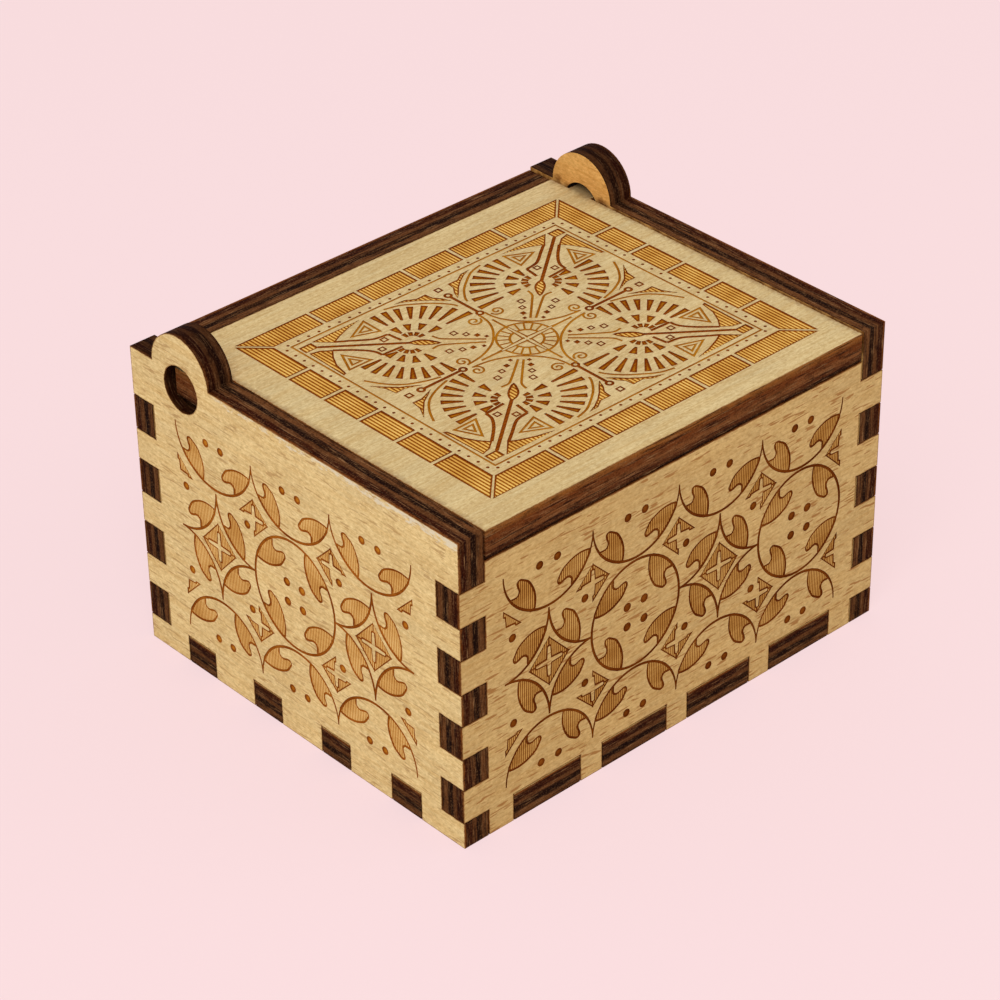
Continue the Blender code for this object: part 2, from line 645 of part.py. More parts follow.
def pins():
    """Pins of the tune: two or three of the comb's tracks on each beat of a turn."""
    places = set()
    for beat in range(PIN_BEATS):
        places.add((beat, beat * 5 % NOTES))
        places.add((beat, (beat * 7 + 4) % NOTES))
        if beat % 2 == 0:
            places.add((beat, (beat * 11 + 9) % NOTES))
    bm = bmesh.new()
    for beat, note in sorted(places):
        angle = 2 * math.pi * (beat + 0.5) / PIN_BEATS
        y = COMB_Y + (note + 0.5) * NOTE_PITCH
        turn = Matrix.Translation((CYLINDER_X, y, AXIS_Z)) @ Matrix.Rotation(angle, 4, "Y")
        corners = []
        for height in (CYLINDER_RADIUS - CYLINDER_WALL / 2, PIN_CIRCLE):
            for u, v in ((-1, -1), (1, -1), (1, 1), (-1, 1)):
                corners.append(bm.verts.new(turn @ Vector((u * PIN_RADIUS, v * PIN_RADIUS, height))))
        bm.faces.new(corners[3::-1])
        bm.faces.new(corners[4:])
        for i in range(4):
            j = (i + 1) % 4
            bm.faces.new((corners[i], corners[j], corners[j + 4], corners[i + 4]))
    return bm


def pinned_cylinder(axis):
    """Brass sleeve with the tune's pins standing on it."""
    inner = CYLINDER_RADIUS - CYLINDER_WALL
    sleeve = ring(inner, CYLINDER_RADIUS, CYLINDER_FRONT, CYLINDER_BACK,
                  (CYLINDER_X, 0.0, AXIS_Z), ALONG_Y, 48)
    cylinder = add_object("pinned_cylinder", sleeve, BRASS, True)
    carry(cylinder, axis)
    join(cylinder, "tune_pins", pins())


def cylinder_caps(axis):
    """Discs that close the sleeve's ends and carry it on the arbor."""
    outer = CYLINDER_RADIUS - CYLINDER_WALL - KERF_GAP
    inner = ARBOR_RADIUS + KERF_GAP
    centre = (CYLINDER_X, 0.0, AXIS_Z)
    spans = (("front_cylinder_cap", CYLINDER_FRONT + SEAT_GAP, 1),
             ("back_cylinder_cap", CYLINDER_BACK - SEAT_GAP, -1))
    for name, face, inward in spans:
        low, high = sorted((face, face + inward * CAP_THICKNESS))
        cap = add_object(name, ring(inner, outer, low, high, centre, ALONG_Y, ROUND), NYLON, True)
        carry(cap, axis)


def arbor(axis):
    """Steel arbor through the bed's lug, the cylinder, the wheel and the bracket."""
    end = CLIP_THICKNESS + RUNNING_GAP * 3
    bm = rod(ARBOR_RADIUS, LUG_FRONT - end, BRACKET_BACK + end, (CYLINDER_X, 0.0, AXIS_Z), ALONG_Y)
    carry(add_object("cylinder_arbor", bm, STEEL, True), axis)
    inner = ARBOR_RADIUS + KERF_GAP
    spans = (("front_arbor_clip", LUG_FRONT - RUNNING_GAP - CLIP_THICKNESS),
             ("back_arbor_clip", BRACKET_BACK + RUNNING_GAP))
    for name, low in spans:
        bm = ring(inner, CLIP_RADIUS, low, low + CLIP_THICKNESS, (CYLINDER_X, 0.0, AXIS_Z), ALONG_Y)
        carry(add_object(name, bm, STEEL, True), axis)


def worm_wheel(axis):
    """Nylon wheel whose teeth lean by the worm's lead angle, with a hub to the bracket."""
    lean = WORM_LEAD / (2 * math.pi * WORM_PITCH_RADIUS)
    bm = bmesh.new()
    rows = []
    for offset in (-WHEEL_WIDTH / 2, 0.0, WHEEL_WIDTH / 2):
        twist = offset * lean / WHEEL_PITCH_RADIUS
        row = []
        for k in range(WHEEL_TEETH):
            middle = 2 * math.pi * (k + 0.5) / WHEEL_TEETH + twist
            tip_half = TIP_LAND * GEAR_MODULE / 2 / WHEEL_TIP
            root_half = ROOT_LAND * GEAR_MODULE / 2 / WHEEL_ROOT
            for radius, shift in ((WHEEL_ROOT, -root_half), (WHEEL_TIP, -tip_half),
                                  (WHEEL_TIP, tip_half), (WHEEL_ROOT, root_half)):
                angle = middle + shift
                x = CYLINDER_X + radius * math.sin(angle)
                z = AXIS_Z + radius * math.cos(angle)
                row.append(bm.verts.new((x, WORM_Y + offset, z)))
        rows.append(row)
    count = len(rows[0])
    bm.faces.new(list(reversed(rows[0])))
    bm.faces.new(rows[-1])
    for lower, upper in zip(rows, rows[1:]):
        for i in range(count):
            j = (i + 1) % count
            bm.faces.new((lower[i], lower[j], upper[j], upper[i]))
    wheel = add_object("worm_wheel", bm, NYLON)
    carry(wheel, axis)
    centre = (CYLINDER_X, 0.0, AXIS_Z)
    hub_end = BRACKET_FRONT - RUNNING_GAP
    join(wheel, "wheel_hub", rod(WHEEL_HUB_RADIUS, WORM_Y, hub_end, centre, ALONG_Y))
    bore = rod(ARBOR_RADIUS + KERF_GAP, CYLINDER_BACK, BRACKET_BACK, centre, ALONG_Y)
    cut(wheel, "wheel_bore", bore)


def worm_thread():
    """Right-hand thread ridge, whose crest crosses the wheel's middle gap at the bottom."""
    overrun = WORM_LEAD
    turns = (WORM_THREAD_LENGTH + 2 * overrun) / WORM_LEAD
    half_turns = math.ceil(turns / 2)
    base = WORM_ROOT - (WORM_ROOT - SHAFT_RADIUS) / 3
    slope = (ROOT_LAND - TIP_LAND) * GEAR_MODULE / 2 / (WORM_TIP - WORM_ROOT)
    tip_half = TIP_LAND * GEAR_MODULE / 2
    base_half = tip_half + slope * (WORM_TIP - base)
    bm = bmesh.new()
    sections = []
    steps = 2 * half_turns * WORM_STEPS
    for i in range(steps + 1):
        turn = i / WORM_STEPS - half_turns
        angle = 2 * math.pi * turn - math.pi / 2
        x = CYLINDER_X + turn * WORM_LEAD
        section = []
        for shift, radius in ((-base_half, base), (-tip_half, WORM_TIP), (tip_half, WORM_TIP), (base_half, base)):
            y = WORM_Y + radius * math.cos(angle)
            z = WORM_Z + radius * math.sin(angle)
            section.append(bm.verts.new((x + shift, y, z)))
        sections.append(section)
    bm.faces.new(sections[0])
    bm.faces.new(list(reversed(sections[-1])))
    for first, second in zip(sections, sections[1:]):
        for i in range(4):
            j = (i + 1) % 4
            bm.faces.new((first[i], second[i], second[j], first[j]))
    for side in (-1, 1):
        geometry = bm.verts[:] + bm.edges[:] + bm.faces[:]
        end = (CYLINDER_X + side * WORM_THREAD_LENGTH / 2, WORM_Y, WORM_Z)
        bmesh.ops.bisect_plane(bm, geom=geometry, plane_co=end, plane_no=(side, 0, 0), clear_outer=True)
        open_edges = [edge for edge in bm.edges if edge.is_boundary]
        bmesh.ops.holes_fill(bm, edges=open_edges, sides=0)
    return bm


def worm(axis):
    """Worm sleeve on the shaft: thread in the middle, a plain hub at each end."""
    centre = (CYLINDER_X, WORM_Y, WORM_Z)
    end = WORM_THREAD_LENGTH / 2 + WORM_HUB
    core = add_object("worm", rod(WORM_ROOT, -end, end, centre, ALONG_X), BRASS, True)
    carry(core, axis)
    join(core, "worm_thread", worm_thread())
    bore = rod(SHAFT_RADIUS + KERF_GAP, -end - WORM_HUB, end + WORM_HUB, centre, ALONG_X)
    cut(core, "worm_bore", bore)


def worm_shaft(axis):
    """Steel shaft from the inner cheek out through the right panel into the crank's hub."""
    low = CYLINDER_X - CHEEK_INNER - BRACKET_WALL - CLIP_THICKNESS - 3 * RUNNING_GAP
    high = CRANK_HUB_X + CRANK_BORE_DEPTH - SEAT_GAP
    bevel = SHAFT_RADIUS * 0.25
    profile = [(SHAFT_RADIUS - bevel, low), (SHAFT_RADIUS, low + bevel)]
    profile += [(SHAFT_RADIUS, high - bevel), (SHAFT_RADIUS - bevel, high)]
    centre = (0.0, WORM_Y, WORM_Z)
    carry(add_object("worm_shaft", turned(profile, centre, ALONG_X), STEEL, True), axis)
    inner = SHAFT_RADIUS + KERF_GAP
    outer = CLIP_RADIUS + SHAFT_RADIUS - ARBOR_RADIUS
    inner_face = CYLINDER_X - CHEEK_INNER - BRACKET_WALL - RUNNING_GAP
    outer_face = CYLINDER_X + CHEEK_INNER + BRACKET_WALL + RUNNING_GAP
    spans = (("inner_shaft_clip", inner_face - CLIP_THICKNESS, inner_face),
             ("outer_shaft_clip", outer_face, outer_face + CLIP_THICKNESS))
    for name, start, end in spans:
        clip = ring(inner, outer, start, end, centre, ALONG_X)
        carry(add_object(name, clip, STEEL, True), axis)


def swept_rod(points, radius, sides):
    """Round rod along a bent centre line that lies in one XZ plane."""
    bm = bmesh.new()
    sections = []
    for i, point in enumerate(points):
        before = points[max(i - 1, 0)]
        after = points[min(i + 1, len(points) - 1)]
        along = (Vector(after) - Vector(before)).normalized()
        across = Vector((0.0, 1.0, 0.0))
        up = along.cross(across)
        stretch = 1.0
        if 0 < i < len(points) - 1:
            ahead = (Vector(after) - Vector(point)).normalized()
            stretch = 1.0 / max(ahead.dot(along), 0.5)
        section = []
        for k in range(sides):
            angle = 2 * math.pi * k / sides
            place = Vector(point) + across * radius * math.cos(angle)
            section.append(bm.verts.new(place + up * radius * stretch * math.sin(angle)))
        sections.append(section)
    bm.faces.new(sections[0])
    bm.faces.new(list(reversed(sections[-1])))
    for first, second in zip(sections, sections[1:]):
        for i in range(sides):
            j = (i + 1) % sides
            bm.faces.new((first[i], second[i], second[j], first[j]))
    return bm


def crank_handle(axis):
    """Hub that screws on the shaft, and a rod bent down to the knob and out through it."""
    knob_end = KNOB_X + KNOB_LENGTH - KNOB_COUNTERBORE + RUNNING_GAP
    upper = arc((CRANK_ARM_X - CRANK_BEND, WORM_Z - CRANK_BEND), CRANK_BEND, 90, 0, 6)
    lower = arc((CRANK_ARM_X + CRANK_BEND, KNOB_Z + CRANK_BEND), CRANK_BEND, 180, 270, 6)
    line = [(CRANK_ROD_X - CRANK_BORE_DEPTH / 8, WORM_Z)] + upper + lower + [(knob_end, KNOB_Z)]
    path = [(x, WORM_Y, z) for x, z in line]
    bore = SHAFT_RADIUS + KERF_GAP
    bevel = CRANK_HUB_RADIUS * 0.2
    floor = CRANK_HUB_X + CRANK_BORE_DEPTH
    profile = [(bore, floor), (bore, CRANK_HUB_X), (CRANK_HUB_RADIUS - bevel, CRANK_HUB_X)]
    profile += [(CRANK_HUB_RADIUS, CRANK_HUB_X + bevel), (CRANK_HUB_RADIUS, CRANK_ROD_X - bevel)]
    profile.append((CRANK_HUB_RADIUS - bevel, CRANK_ROD_X))
    hub = turned(profile, (0.0, WORM_Y, WORM_Z), ALONG_X, 24)
    handle = add_object("crank_handle", hub, STEEL, True)
    carry(handle, axis)
    join(handle, "crank_rod", swept_rod(path, CRANK_ROD_RADIUS, 16))
    rivet = rod(RIVET_RADIUS, knob_end - RIVET_HEIGHT / 4, knob_end + RIVET_HEIGHT,
                (0.0, WORM_Y, KNOB_Z), ALONG_X)
    join(handle, "crank_rivet", rivet)


def crank_knob(axis):
    """Waisted grip that turns freely on the crank's rod, counterbored for the rivet."""
    bore = CRANK_ROD_RADIUS + RUNNING_GAP
    recess = RIVET_RADIUS + RUNNING_GAP
    end = KNOB_X + KNOB_LENGTH
    profile = [(bore, KNOB_X)]
    count = 12
    for i in range(count + 1):
        t = i / count
        crown = math.sin(math.pi * t)
        radius = KNOB_RADIUS * (0.72 + 0.28 * crown ** 0.6)
        profile.append((radius, KNOB_X + KNOB_LENGTH * t))
    profile += [(recess, end), (recess, end - KNOB_COUNTERBORE), (bore, end - KNOB_COUNTERBORE)]
    bm = turned(profile, (0.0, WORM_Y, KNOB_Z), ALONG_X, 24, True)
    carry(add_object("crank_knob", bm, NYLON, True), axis)


def build():
    clear_scene()
    lid_axis = axis_empty("lid_axis", (0.0, HINGE_Y, HINGE_Z))
    cylinder_axis = axis_empty("cylinder_axis", (CYLINDER_X, CYLINDER_MID_Y, AXIS_Z))
    crank_axis = axis_empty("crank_axis", (CYLINDER_X, WORM_Y, WORM_Z))
    knob_axis = axis_empty("knob_axis", (KNOB_X, WORM_Y, KNOB_Z))
    bottom_panel()
    end_panel("front_panel", -INNER_Y, -HALF_DEPTH, FRONT_TOP)
    end_panel("back_panel", INNER_Y, HALF_DEPTH, BACK_TOP)
    left_panel()
    right_panel()
    lid(lid_axis)
    movement_bed()
    worm_bracket()
    comb()
    tooth_weights()
    for i, (x, y) in enumerate(comb_screw_places()):
        slotted_screw("comb_screw_%d" % (i + 1), x, y, COMB_TOP)
    for i, (x, y) in enumerate(foot_screw_places()):
        slotted_screw("bracket_screw_%d" % (i + 1), x, y, BED_TOP + SEAT_GAP + BRACKET_WALL)
    for i, (x, y) in enumerate(bed_screw_places()):
        bed_screw("bed_screw_%d" % (i + 1), x, y)
    pinned_cylinder(cylinder_axis)
    cylinder_caps(cylinder_axis)
    arbor(cylinder_axis)
    worm_wheel(cylinder_axis)
    worm(crank_axis)
    worm_shaft(crank_axis)
    crank_handle(crank_axis)
    crank_knob(knob_axis)


build()
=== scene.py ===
"""Looks of the hand-cranked wooden music box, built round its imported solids.

The boards' engraving is cut into their faces as real recesses. Places come from the solids in
metres. An ornament's own sizes are in millimetres, on the face seen from outside: u runs to
the right and v runs up, and on the lid v runs towards the hinge.
"""
import math

import bpy
from mathutils import Matrix, Vector
from mathutils.geometry import delaunay_2d_cdt


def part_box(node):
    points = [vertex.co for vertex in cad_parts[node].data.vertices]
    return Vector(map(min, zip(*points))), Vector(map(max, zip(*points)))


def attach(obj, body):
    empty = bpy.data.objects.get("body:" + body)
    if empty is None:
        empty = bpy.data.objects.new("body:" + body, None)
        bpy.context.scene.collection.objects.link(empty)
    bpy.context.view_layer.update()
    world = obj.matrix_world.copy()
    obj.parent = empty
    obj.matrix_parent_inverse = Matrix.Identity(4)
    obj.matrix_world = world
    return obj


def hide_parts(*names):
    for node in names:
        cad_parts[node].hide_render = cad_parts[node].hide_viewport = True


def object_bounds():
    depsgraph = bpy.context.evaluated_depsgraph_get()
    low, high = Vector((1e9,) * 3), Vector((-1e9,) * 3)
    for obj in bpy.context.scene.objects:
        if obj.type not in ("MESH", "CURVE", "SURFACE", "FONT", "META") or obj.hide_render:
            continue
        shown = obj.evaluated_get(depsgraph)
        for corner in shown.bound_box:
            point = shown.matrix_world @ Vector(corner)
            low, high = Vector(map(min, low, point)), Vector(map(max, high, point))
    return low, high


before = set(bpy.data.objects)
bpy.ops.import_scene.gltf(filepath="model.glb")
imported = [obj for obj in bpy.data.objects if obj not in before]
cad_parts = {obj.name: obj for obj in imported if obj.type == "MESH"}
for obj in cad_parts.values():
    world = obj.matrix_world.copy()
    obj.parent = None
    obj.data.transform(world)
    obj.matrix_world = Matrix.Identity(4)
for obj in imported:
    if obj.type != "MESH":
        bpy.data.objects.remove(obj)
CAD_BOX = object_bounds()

MM = 0.001

# Camera, fitted to the corners of the box in the photograph
CAMERA_PLACE = Vector((-0.22498, -0.24703, 0.23806))
CAMERA_AHEAD = Vector((0.55964, 0.61919, -0.55082))
CAMERA_RIGHT = Vector((0.73602, -0.67683, -0.01303))
CAMERA_LENS = 124.05
SENSOR_WIDTH = 36.0

# Side walls: height of the straight rim, and where it meets the ear
BOX_RIM = 40.0
EAR_START = 13.5

# Light and backdrop
BACKDROP = (0.965, 0.735, 0.750)
WORLD_STRENGTH = 0.62
LAMP_TARGET = Vector((0, 0, 0.02))
LAMPS = (("key", (-0.45, -0.35, 0.70), 0.5, 4.0), ("fill", (0.55, -0.60, 0.45), 0.6, 1.2))
FLOOR_SIZE = 4.0
FLOOR_GAP = 0.00005
FLOOR_GLOW = 0.80
FLOOR_PAINT = 0.19
FLOOR_GREY = (0.62, 0.60, 0.60)

# Engraving: the levels, then the slots of the cut sides and of the back
FACE, RIM, FILL, TRACE, HATCH, LINE, EDGE, BACK = range(8)
DEPTHS = {FACE: 0.0, RIM: 0.0, FILL: 0.04, TRACE: 0.05, HATCH: 0.06, LINE: 0.09}
BURN_NAMES = {FILL: "fill", TRACE: "trace", HATCH: "hatch", LINE: "line"}
RIM_WIDTH = 0.10
OUTLINE_WIDTH = 0.27
HATCH_PITCH = 0.28
HATCH_WIDTH = 0.12
MITRE_LIMIT = 0.4
ALL_QUARTERS = ((1, 1), (-1, 1), (-1, -1), (1, -1))

# Axis along which a board's outside looks: a side wall's, the front's and the back's, the lid's
SIDE, FRONT, TOP = range(3)

# Rounding of the solids' corners in millimetres, and how near two points are taken as one
KEY_DIGITS = 4
NEARNESS = 1e-4


class Board:
    """A flat board's outer face: its outline from the solid, and where (u, v) lies in the frame."""

    def __init__(self, node, u_axis, v_axis):
        self.node = node
        self.u_axis = Vector(u_axis)
        self.v_axis = Vector(v_axis)
        self.normal = self.u_axis.cross(self.v_axis)
        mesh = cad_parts[node].data
        heights = [vert.co.dot(self.normal) for vert in mesh.vertices]
        self.face = max(heights)
        self.thickness = (self.face - min(heights)) / MM
        self.loops = self.read_loops(mesh)

    def flat(self, place):
        """A place of the frame as (u, v) in millimetres."""
        return tuple(round(place.dot(axis) / MM, KEY_DIGITS) for axis in (self.u_axis, self.v_axis))

    def read_loops(self, mesh):
        """Closed outlines of the outer face, the largest first."""
        edges = {}
        for polygon in mesh.polygons:
            places = [mesh.vertices[i].co for i in polygon.vertices]
            if max(self.face - place.dot(self.normal) for place in places) > MM / 100:
                continue
            flat = [self.flat(place) for place in places]
            edges.update(dict.fromkeys(sides_of(flat)))
        following = {start: end for start, end in edges if (end, start) not in edges}
        loops = []
        while following:
            start = next(iter(following))
            loop = [start]
            end = following.pop(start)
            while end != start:
                loop.append(end)
                end = following.pop(end)
            loops.append(loop)
        loops.sort(key=lambda loop: -abs(area(loop)))
        return loops

    def place(self, u, v, depth):
        """Point of the frame for a point on the face, depth millimetres under it."""
        return self.u_axis * (u * MM) + self.v_axis * (v * MM) + self.normal * (self.face - depth * MM)


def sides_of(outline):
    """Each point of a closed outline with the one after it."""
    return zip(outline, outline[1:] + outline[:1])


def area(outline):
    """Area of a closed outline, negative where it runs clockwise."""
    total = 0.0
    for (u0, v0), (u1, v1) in sides_of(outline):
        total += u0 * v1 - u1 * v0
    return total / 2


def counterclockwise(points):
    return list(points if area(points) >= 0 else points[::-1])


def smooth_outline(points, steps, closed=True):
    """Curve through the points, with so many steps between neighbours."""
    count = len(points)
    curve = []
    spans = count if closed else count - 1
    for i in range(spans):
        if closed:
            knots = [points[(i + k) % count] for k in (-1, 0, 1, 2)]
        else:
            knots = [points[min(max(i + k, 0), count - 1)] for k in (-1, 0, 1, 2)]
        for step in range(steps):
            t = step / steps
            weights = (-0.5 * t + t * t - 0.5 * t ** 3, 1 - 2.5 * t * t + 1.5 * t ** 3,
                       0.5 * t + 2 * t * t - 1.5 * t ** 3, -0.5 * t * t + 0.5 * t ** 3)
            u = sum(w * knot[0] for w, knot in zip(weights, knots))
            v = sum(w * knot[1] for w, knot in zip(weights, knots))
            curve.append((u, v))
    if not closed:
        curve.append(points[-1])
    return curve


def polar(centre, radii, degrees):
    """Point on an ellipse, at an angle in degrees."""
    angle = math.radians(degrees)
    return (centre[0] + radii[0] * math.cos(angle), centre[1] + radii[1] * math.sin(angle))


def ellipse(centre, radii, start, end, steps=32):
    """Points along an ellipse between two angles in degrees, both ends included."""
    return [polar(centre, radii, start + (end - start) * i / steps) for i in range(steps + 1)]


def closed_ellipse(centre, radii, count):
    """Outline of so many points."""
    return ellipse(centre, radii, 0, 360 - 360 / count, count - 1)


def circle(centre, radius, count):
    return closed_ellipse(centre, (radius, radius), count)


class Ornament:
    """Engraved shapes in the order they are cut: a later one takes the place of an earlier one."""

    def __init__(self):
        self.shapes = []

    def cut(self, level, points):
        """Area cut down to a level."""
        self.shapes.append((level, counterclockwise(points)))

    def stroke(self, level, points, width, closed=False, taper=0.0):
        """Line along the points, as one four-sided patch for each step, with mitred corners."""
        count = len(points)
        steps = count if closed else count - 1
        normals = []
        for i in range(steps):
            (u0, v0), (u1, v1) = points[i], points[(i + 1) % count]
            length = math.hypot(u1 - u0, v1 - v0)
            normals.append(((v0 - v1) / length, (u1 - u0) / length))
        sides = []
        for i, (u, v) in enumerate(points):
            before = normals[(i - 1) % steps] if closed or i > 0 else normals[0]
            after = normals[i] if i < steps else normals[-1]
            lean = max(1 + before[0] * after[0] + before[1] * after[1], MITRE_LIMIT)
            half = width / 2
            if taper:
                half *= 1 - taper * abs(2 * i / (count - 1) - 1) ** 3
            du, dv = (before[0] + after[0]) * half / lean, (before[1] + after[1]) * half / lean
            sides.append(((u + du, v + dv), (u - du, v - dv)))
        for i in range(steps):
            first, second = sides[i], sides[(i + 1) % count]
            patch = [first[0], first[1], second[1], second[0]]
            if area(patch[:3]) * area([patch[0], patch[2], patch[3]]) <= 0:
                start, end, normal = points[i], points[(i + 1) % count], normals[i]
                du, dv = normal[0] * width / 2, normal[1] * width / 2
                patch = [(start[0] + du, start[1] + dv), (start[0] - du, start[1] - dv),
                         (end[0] - du, end[1] - dv), (end[0] + du, end[1] + dv)]
            self.cut(level, patch)

    def hatch(self, level, points, pitch, width):
        """Upright lines inside an outline."""
        low = min(u for u, v in points)
        high = max(u for u, v in points)
        count = int((high - low) / pitch)
        for i in range(count + 1):
            u = (low + high) / 2 + (i - count / 2) * pitch
            crossings = []
            for (u0, v0), (u1, v1) in sides_of(points):
                if (u0 <= u) != (u1 <= u):
                    crossings.append(v0 + (v1 - v0) * (u - u0) / (u1 - u0))
            crossings.sort()
            for bottom, top in zip(crossings[::2], crossings[1::2]):
                self.cut(level, [(u - width / 2, bottom), (u + width / 2, bottom),
                                  (u + width / 2, top), (u - width / 2, top)])

    def solid(self, points, outline=OUTLINE_WIDTH, pitch=HATCH_PITCH, width=HATCH_WIDTH):
        """Filled and hatched shape with a darker outline."""
        self.cut(FILL, points)
        self.hatch(HATCH, points, pitch, width)
        self.stroke(LINE, points, outline, closed=True)

    def ring_dot(self, centre, radius):
        """Small round dot with a dark edge."""
        points = circle(centre, radius, 12)
        self.cut(HATCH, points)
        self.stroke(LINE, points, OUTLINE_WIDTH, closed=True)

    def mirrored(self, centre, signs, other):
        """Add another ornament's shapes, scaled by the signs about a centre."""
        for level, points in other.shapes:
            self.cut(level, [(centre[0] + u * signs[0], centre[1] + v * signs[1]) for u, v in points])


# Leaf: reach from the ring's centre, as a share of its radius, at each turn in degrees
LEAF = ((1.0, 0), (0.83, 1), (0.70, 6), (0.61, 14), (0.555, 26), (0.55, 36), (0.60, 46), (0.66, 52),
        (0.73, 51), (0.75, 45), (0.76, 39), (0.80, 35), (0.88, 34), (1.0, 38), (1.0, 25), (1.0, 12))
LEAF_START = 70.0

# Vine: dots as place across, place up or down and radius; diamonds as half sizes and the cross's arm
VINE_WIDTH = 0.35
RING_SHARE = 0.515
CUP_DOT = (1.3, 0.75, 0.40)
RING_DOT = (1.3, 1.32, 0.44)
STAR_DOT = (1.2, 1.45, 0.40)
CROSS_HALF = 0.37
LARGE_DIAMOND = ((2.9, 3.15), 1.9)
SMALL_DIAMOND = ((2.4, 2.4), 1.6)


def leaf(ornament, centre, radii, quarter):
    """Curled leaf that grows from the inside of a ring, turned by quarters."""
    points = []
    for reach, turn in LEAF:
        reaches = (radii[0] * reach, radii[1] * reach)
        points.append(polar(centre, reaches, LEAF_START + 90 * quarter - turn))
    ornament.solid(smooth_outline(points, 3))


def crossed_diamond(ornament, centre, half, arm, quarters):
    """Hatched diamond with a plain cross in it; only the named quarters are cut."""
    u, v = centre
    narrow = CROSS_HALF * 0.75
    tip = arm * 1.10
    for right, up in quarters:
        points = [(u + right * CROSS_HALF, v + up * CROSS_HALF), (u + right * arm, v + up * narrow),
                  (u + right * tip, v), (u + right * half[0], v), (u, v + up * half[1]),
                  (u, v + up * tip), (u + right * narrow, v + up * arm)]
        ornament.solid(points, OUTLINE_WIDTH * 0.8)


def cup(vine, centre, side, radii):
    """Half ring with two leaves, that hangs from the upper row or stands on the lower one."""
    quarters, start = ((2, 3), 180) if side > 0 else ((0, 1), 0)
    for quarter in quarters:
        leaf(vine, centre, radii, quarter)
    vine.stroke(LINE, ellipse(centre, radii, start, start + 180), VINE_WIDTH, taper=0.5)
    across, inward, radius = CUP_DOT
    for step in (-across, across):
        vine.ring_dot((centre[0] + step, centre[1] - side * inward), radius)


def ring(vine, centre, radii):
    """Whole ring with four leaves and four dots."""
    for quarter in range(4):
        leaf(vine, centre, radii, quarter)
    vine.stroke(LINE, closed_ellipse(centre, radii, 48), VINE_WIDTH, closed=True)
    across, away, radius = RING_DOT
    for right, up in ALL_QUARTERS:
        vine.ring_dot((centre[0] + right * across, centre[1] + up * away), radius)


def star(vine, centre, radii):
    """Four hollow sides between the rings, each with a leaf and a dot."""
    across, inward, radius = STAR_DOT
    for (right, up), quarter in zip(ALL_QUARTERS, (2, 3, 0, 1)):
        corner = (centre[0] + right * radii[0], centre[1] + up * radii[1])
        leaf(vine, corner, radii, quarter)
        start = 90 * quarter
        vine.stroke(LINE, ellipse(corner, radii, start, start + 90, 20), VINE_WIDTH, taper=0.3)
        vine.ring_dot((corner[0] - right * across, corner[1] - up * inward), radius)


def open_quarters(kinds, gap, up):
    """Quarters of a small diamond for which the columns beside it leave room."""
    quarters = []
    for right, column in ((-1, gap - 1), (1, gap)):
        if 0 <= column < len(kinds):
            quarters.append((right, up))
            if kinds[column] == "ring":
                quarters.append((right, -up))
    return quarters


def vine_border(middle, pitch, kinds, rows):
    """Rings and stars with curled leaves between rows of cups.

    kinds names each column, and an open star has no diamond. rows holds half the height between
    the two rows of cups, a cup's height, a ring's half height and the height of the small
    diamonds over the middle.
    """
    half_rows, cup_v, ring_v, small_v = rows
    centre_u, centre_v = middle
    first = centre_u - pitch * (len(kinds) - 1) / 2
    vine = Ornament()
    for i, kind in enumerate(kinds):
        u = first + pitch * i
        for side in (1, -1):
            cup(vine, (u, centre_v + side * half_rows), side, (pitch / 2, cup_v))
        if kind == "ring":
            ring(vine, (u, centre_v), (pitch * RING_SHARE, ring_v))
        else:
            star(vine, (u, centre_v), (pitch / 2, small_v))
        if kind == "star":
            crossed_diamond(vine, (u, centre_v), *LARGE_DIAMOND, ALL_QUARTERS)
    for gap in range(len(kinds) + 1):
        u = first + pitch * (gap - 0.5)
        for up in (1, -1):
            quarters = open_quarters(kinds, gap, up)
            crossed_diamond(vine, (u, centre_v + up * small_v), *SMALL_DIAMOND, quarters)
    return vine


# Lid: half sizes of the frames, then bricks, dots, hatch and half the lid's length
BRICK_FRAME = (24.95, 21.40)
DOT_ROW = (21.20, 17.40)
INNER_LINE = (20.35, 16.90)
BRICK_HEIGHT = 3.0
BRICK_GAP = 0.6
BRICK_PITCHES = (7.1, 6.0)
DOT_PITCH = 1.5
DOT_RADIUS = 0.2
LID_PITCH = 0.46
LID_HATCH = 0.23
LID_HALF = 28.8

# Lid: widths of the lines
BRICK_OUTLINE = 0.22
PATCH_OUTLINE = 0.20
WING_OUTLINE = 0.18
BUD_OUTLINE = 0.26
SHAFT_WIDTH = 0.44
BRANCH_WIDTH = 0.40
TRACE_WIDTH = 0.30
FINE_TRACE = 0.26

# Wheel in the middle of the lid
WHEEL_RADII = (1.95, 3.5)
SPOKE_STEP = 18
SPOKE_WIDTH = 0.24

# Pins on the long and on the short axis: needle's tip, rings at the two ends of the shaft, end square.
# A needle's foot and its line's have half a width and a height, a ring has two radii, and a square
# has half its side and the width of its line.
LONG_PIN = (6.9, (9.7, 15.9), 17.65)
SHORT_PIN = (5.8, (7.86, 13.3), 15.0)
NEEDLE_FOOT = (0.38, 0.3)
NEEDLE_LINE = (0.34, 0.1)
SHAFT_LINE = 0.42
PIN_RING = (0.56, 0.22)
PIN_SQUARE = (0.34, 0.24)

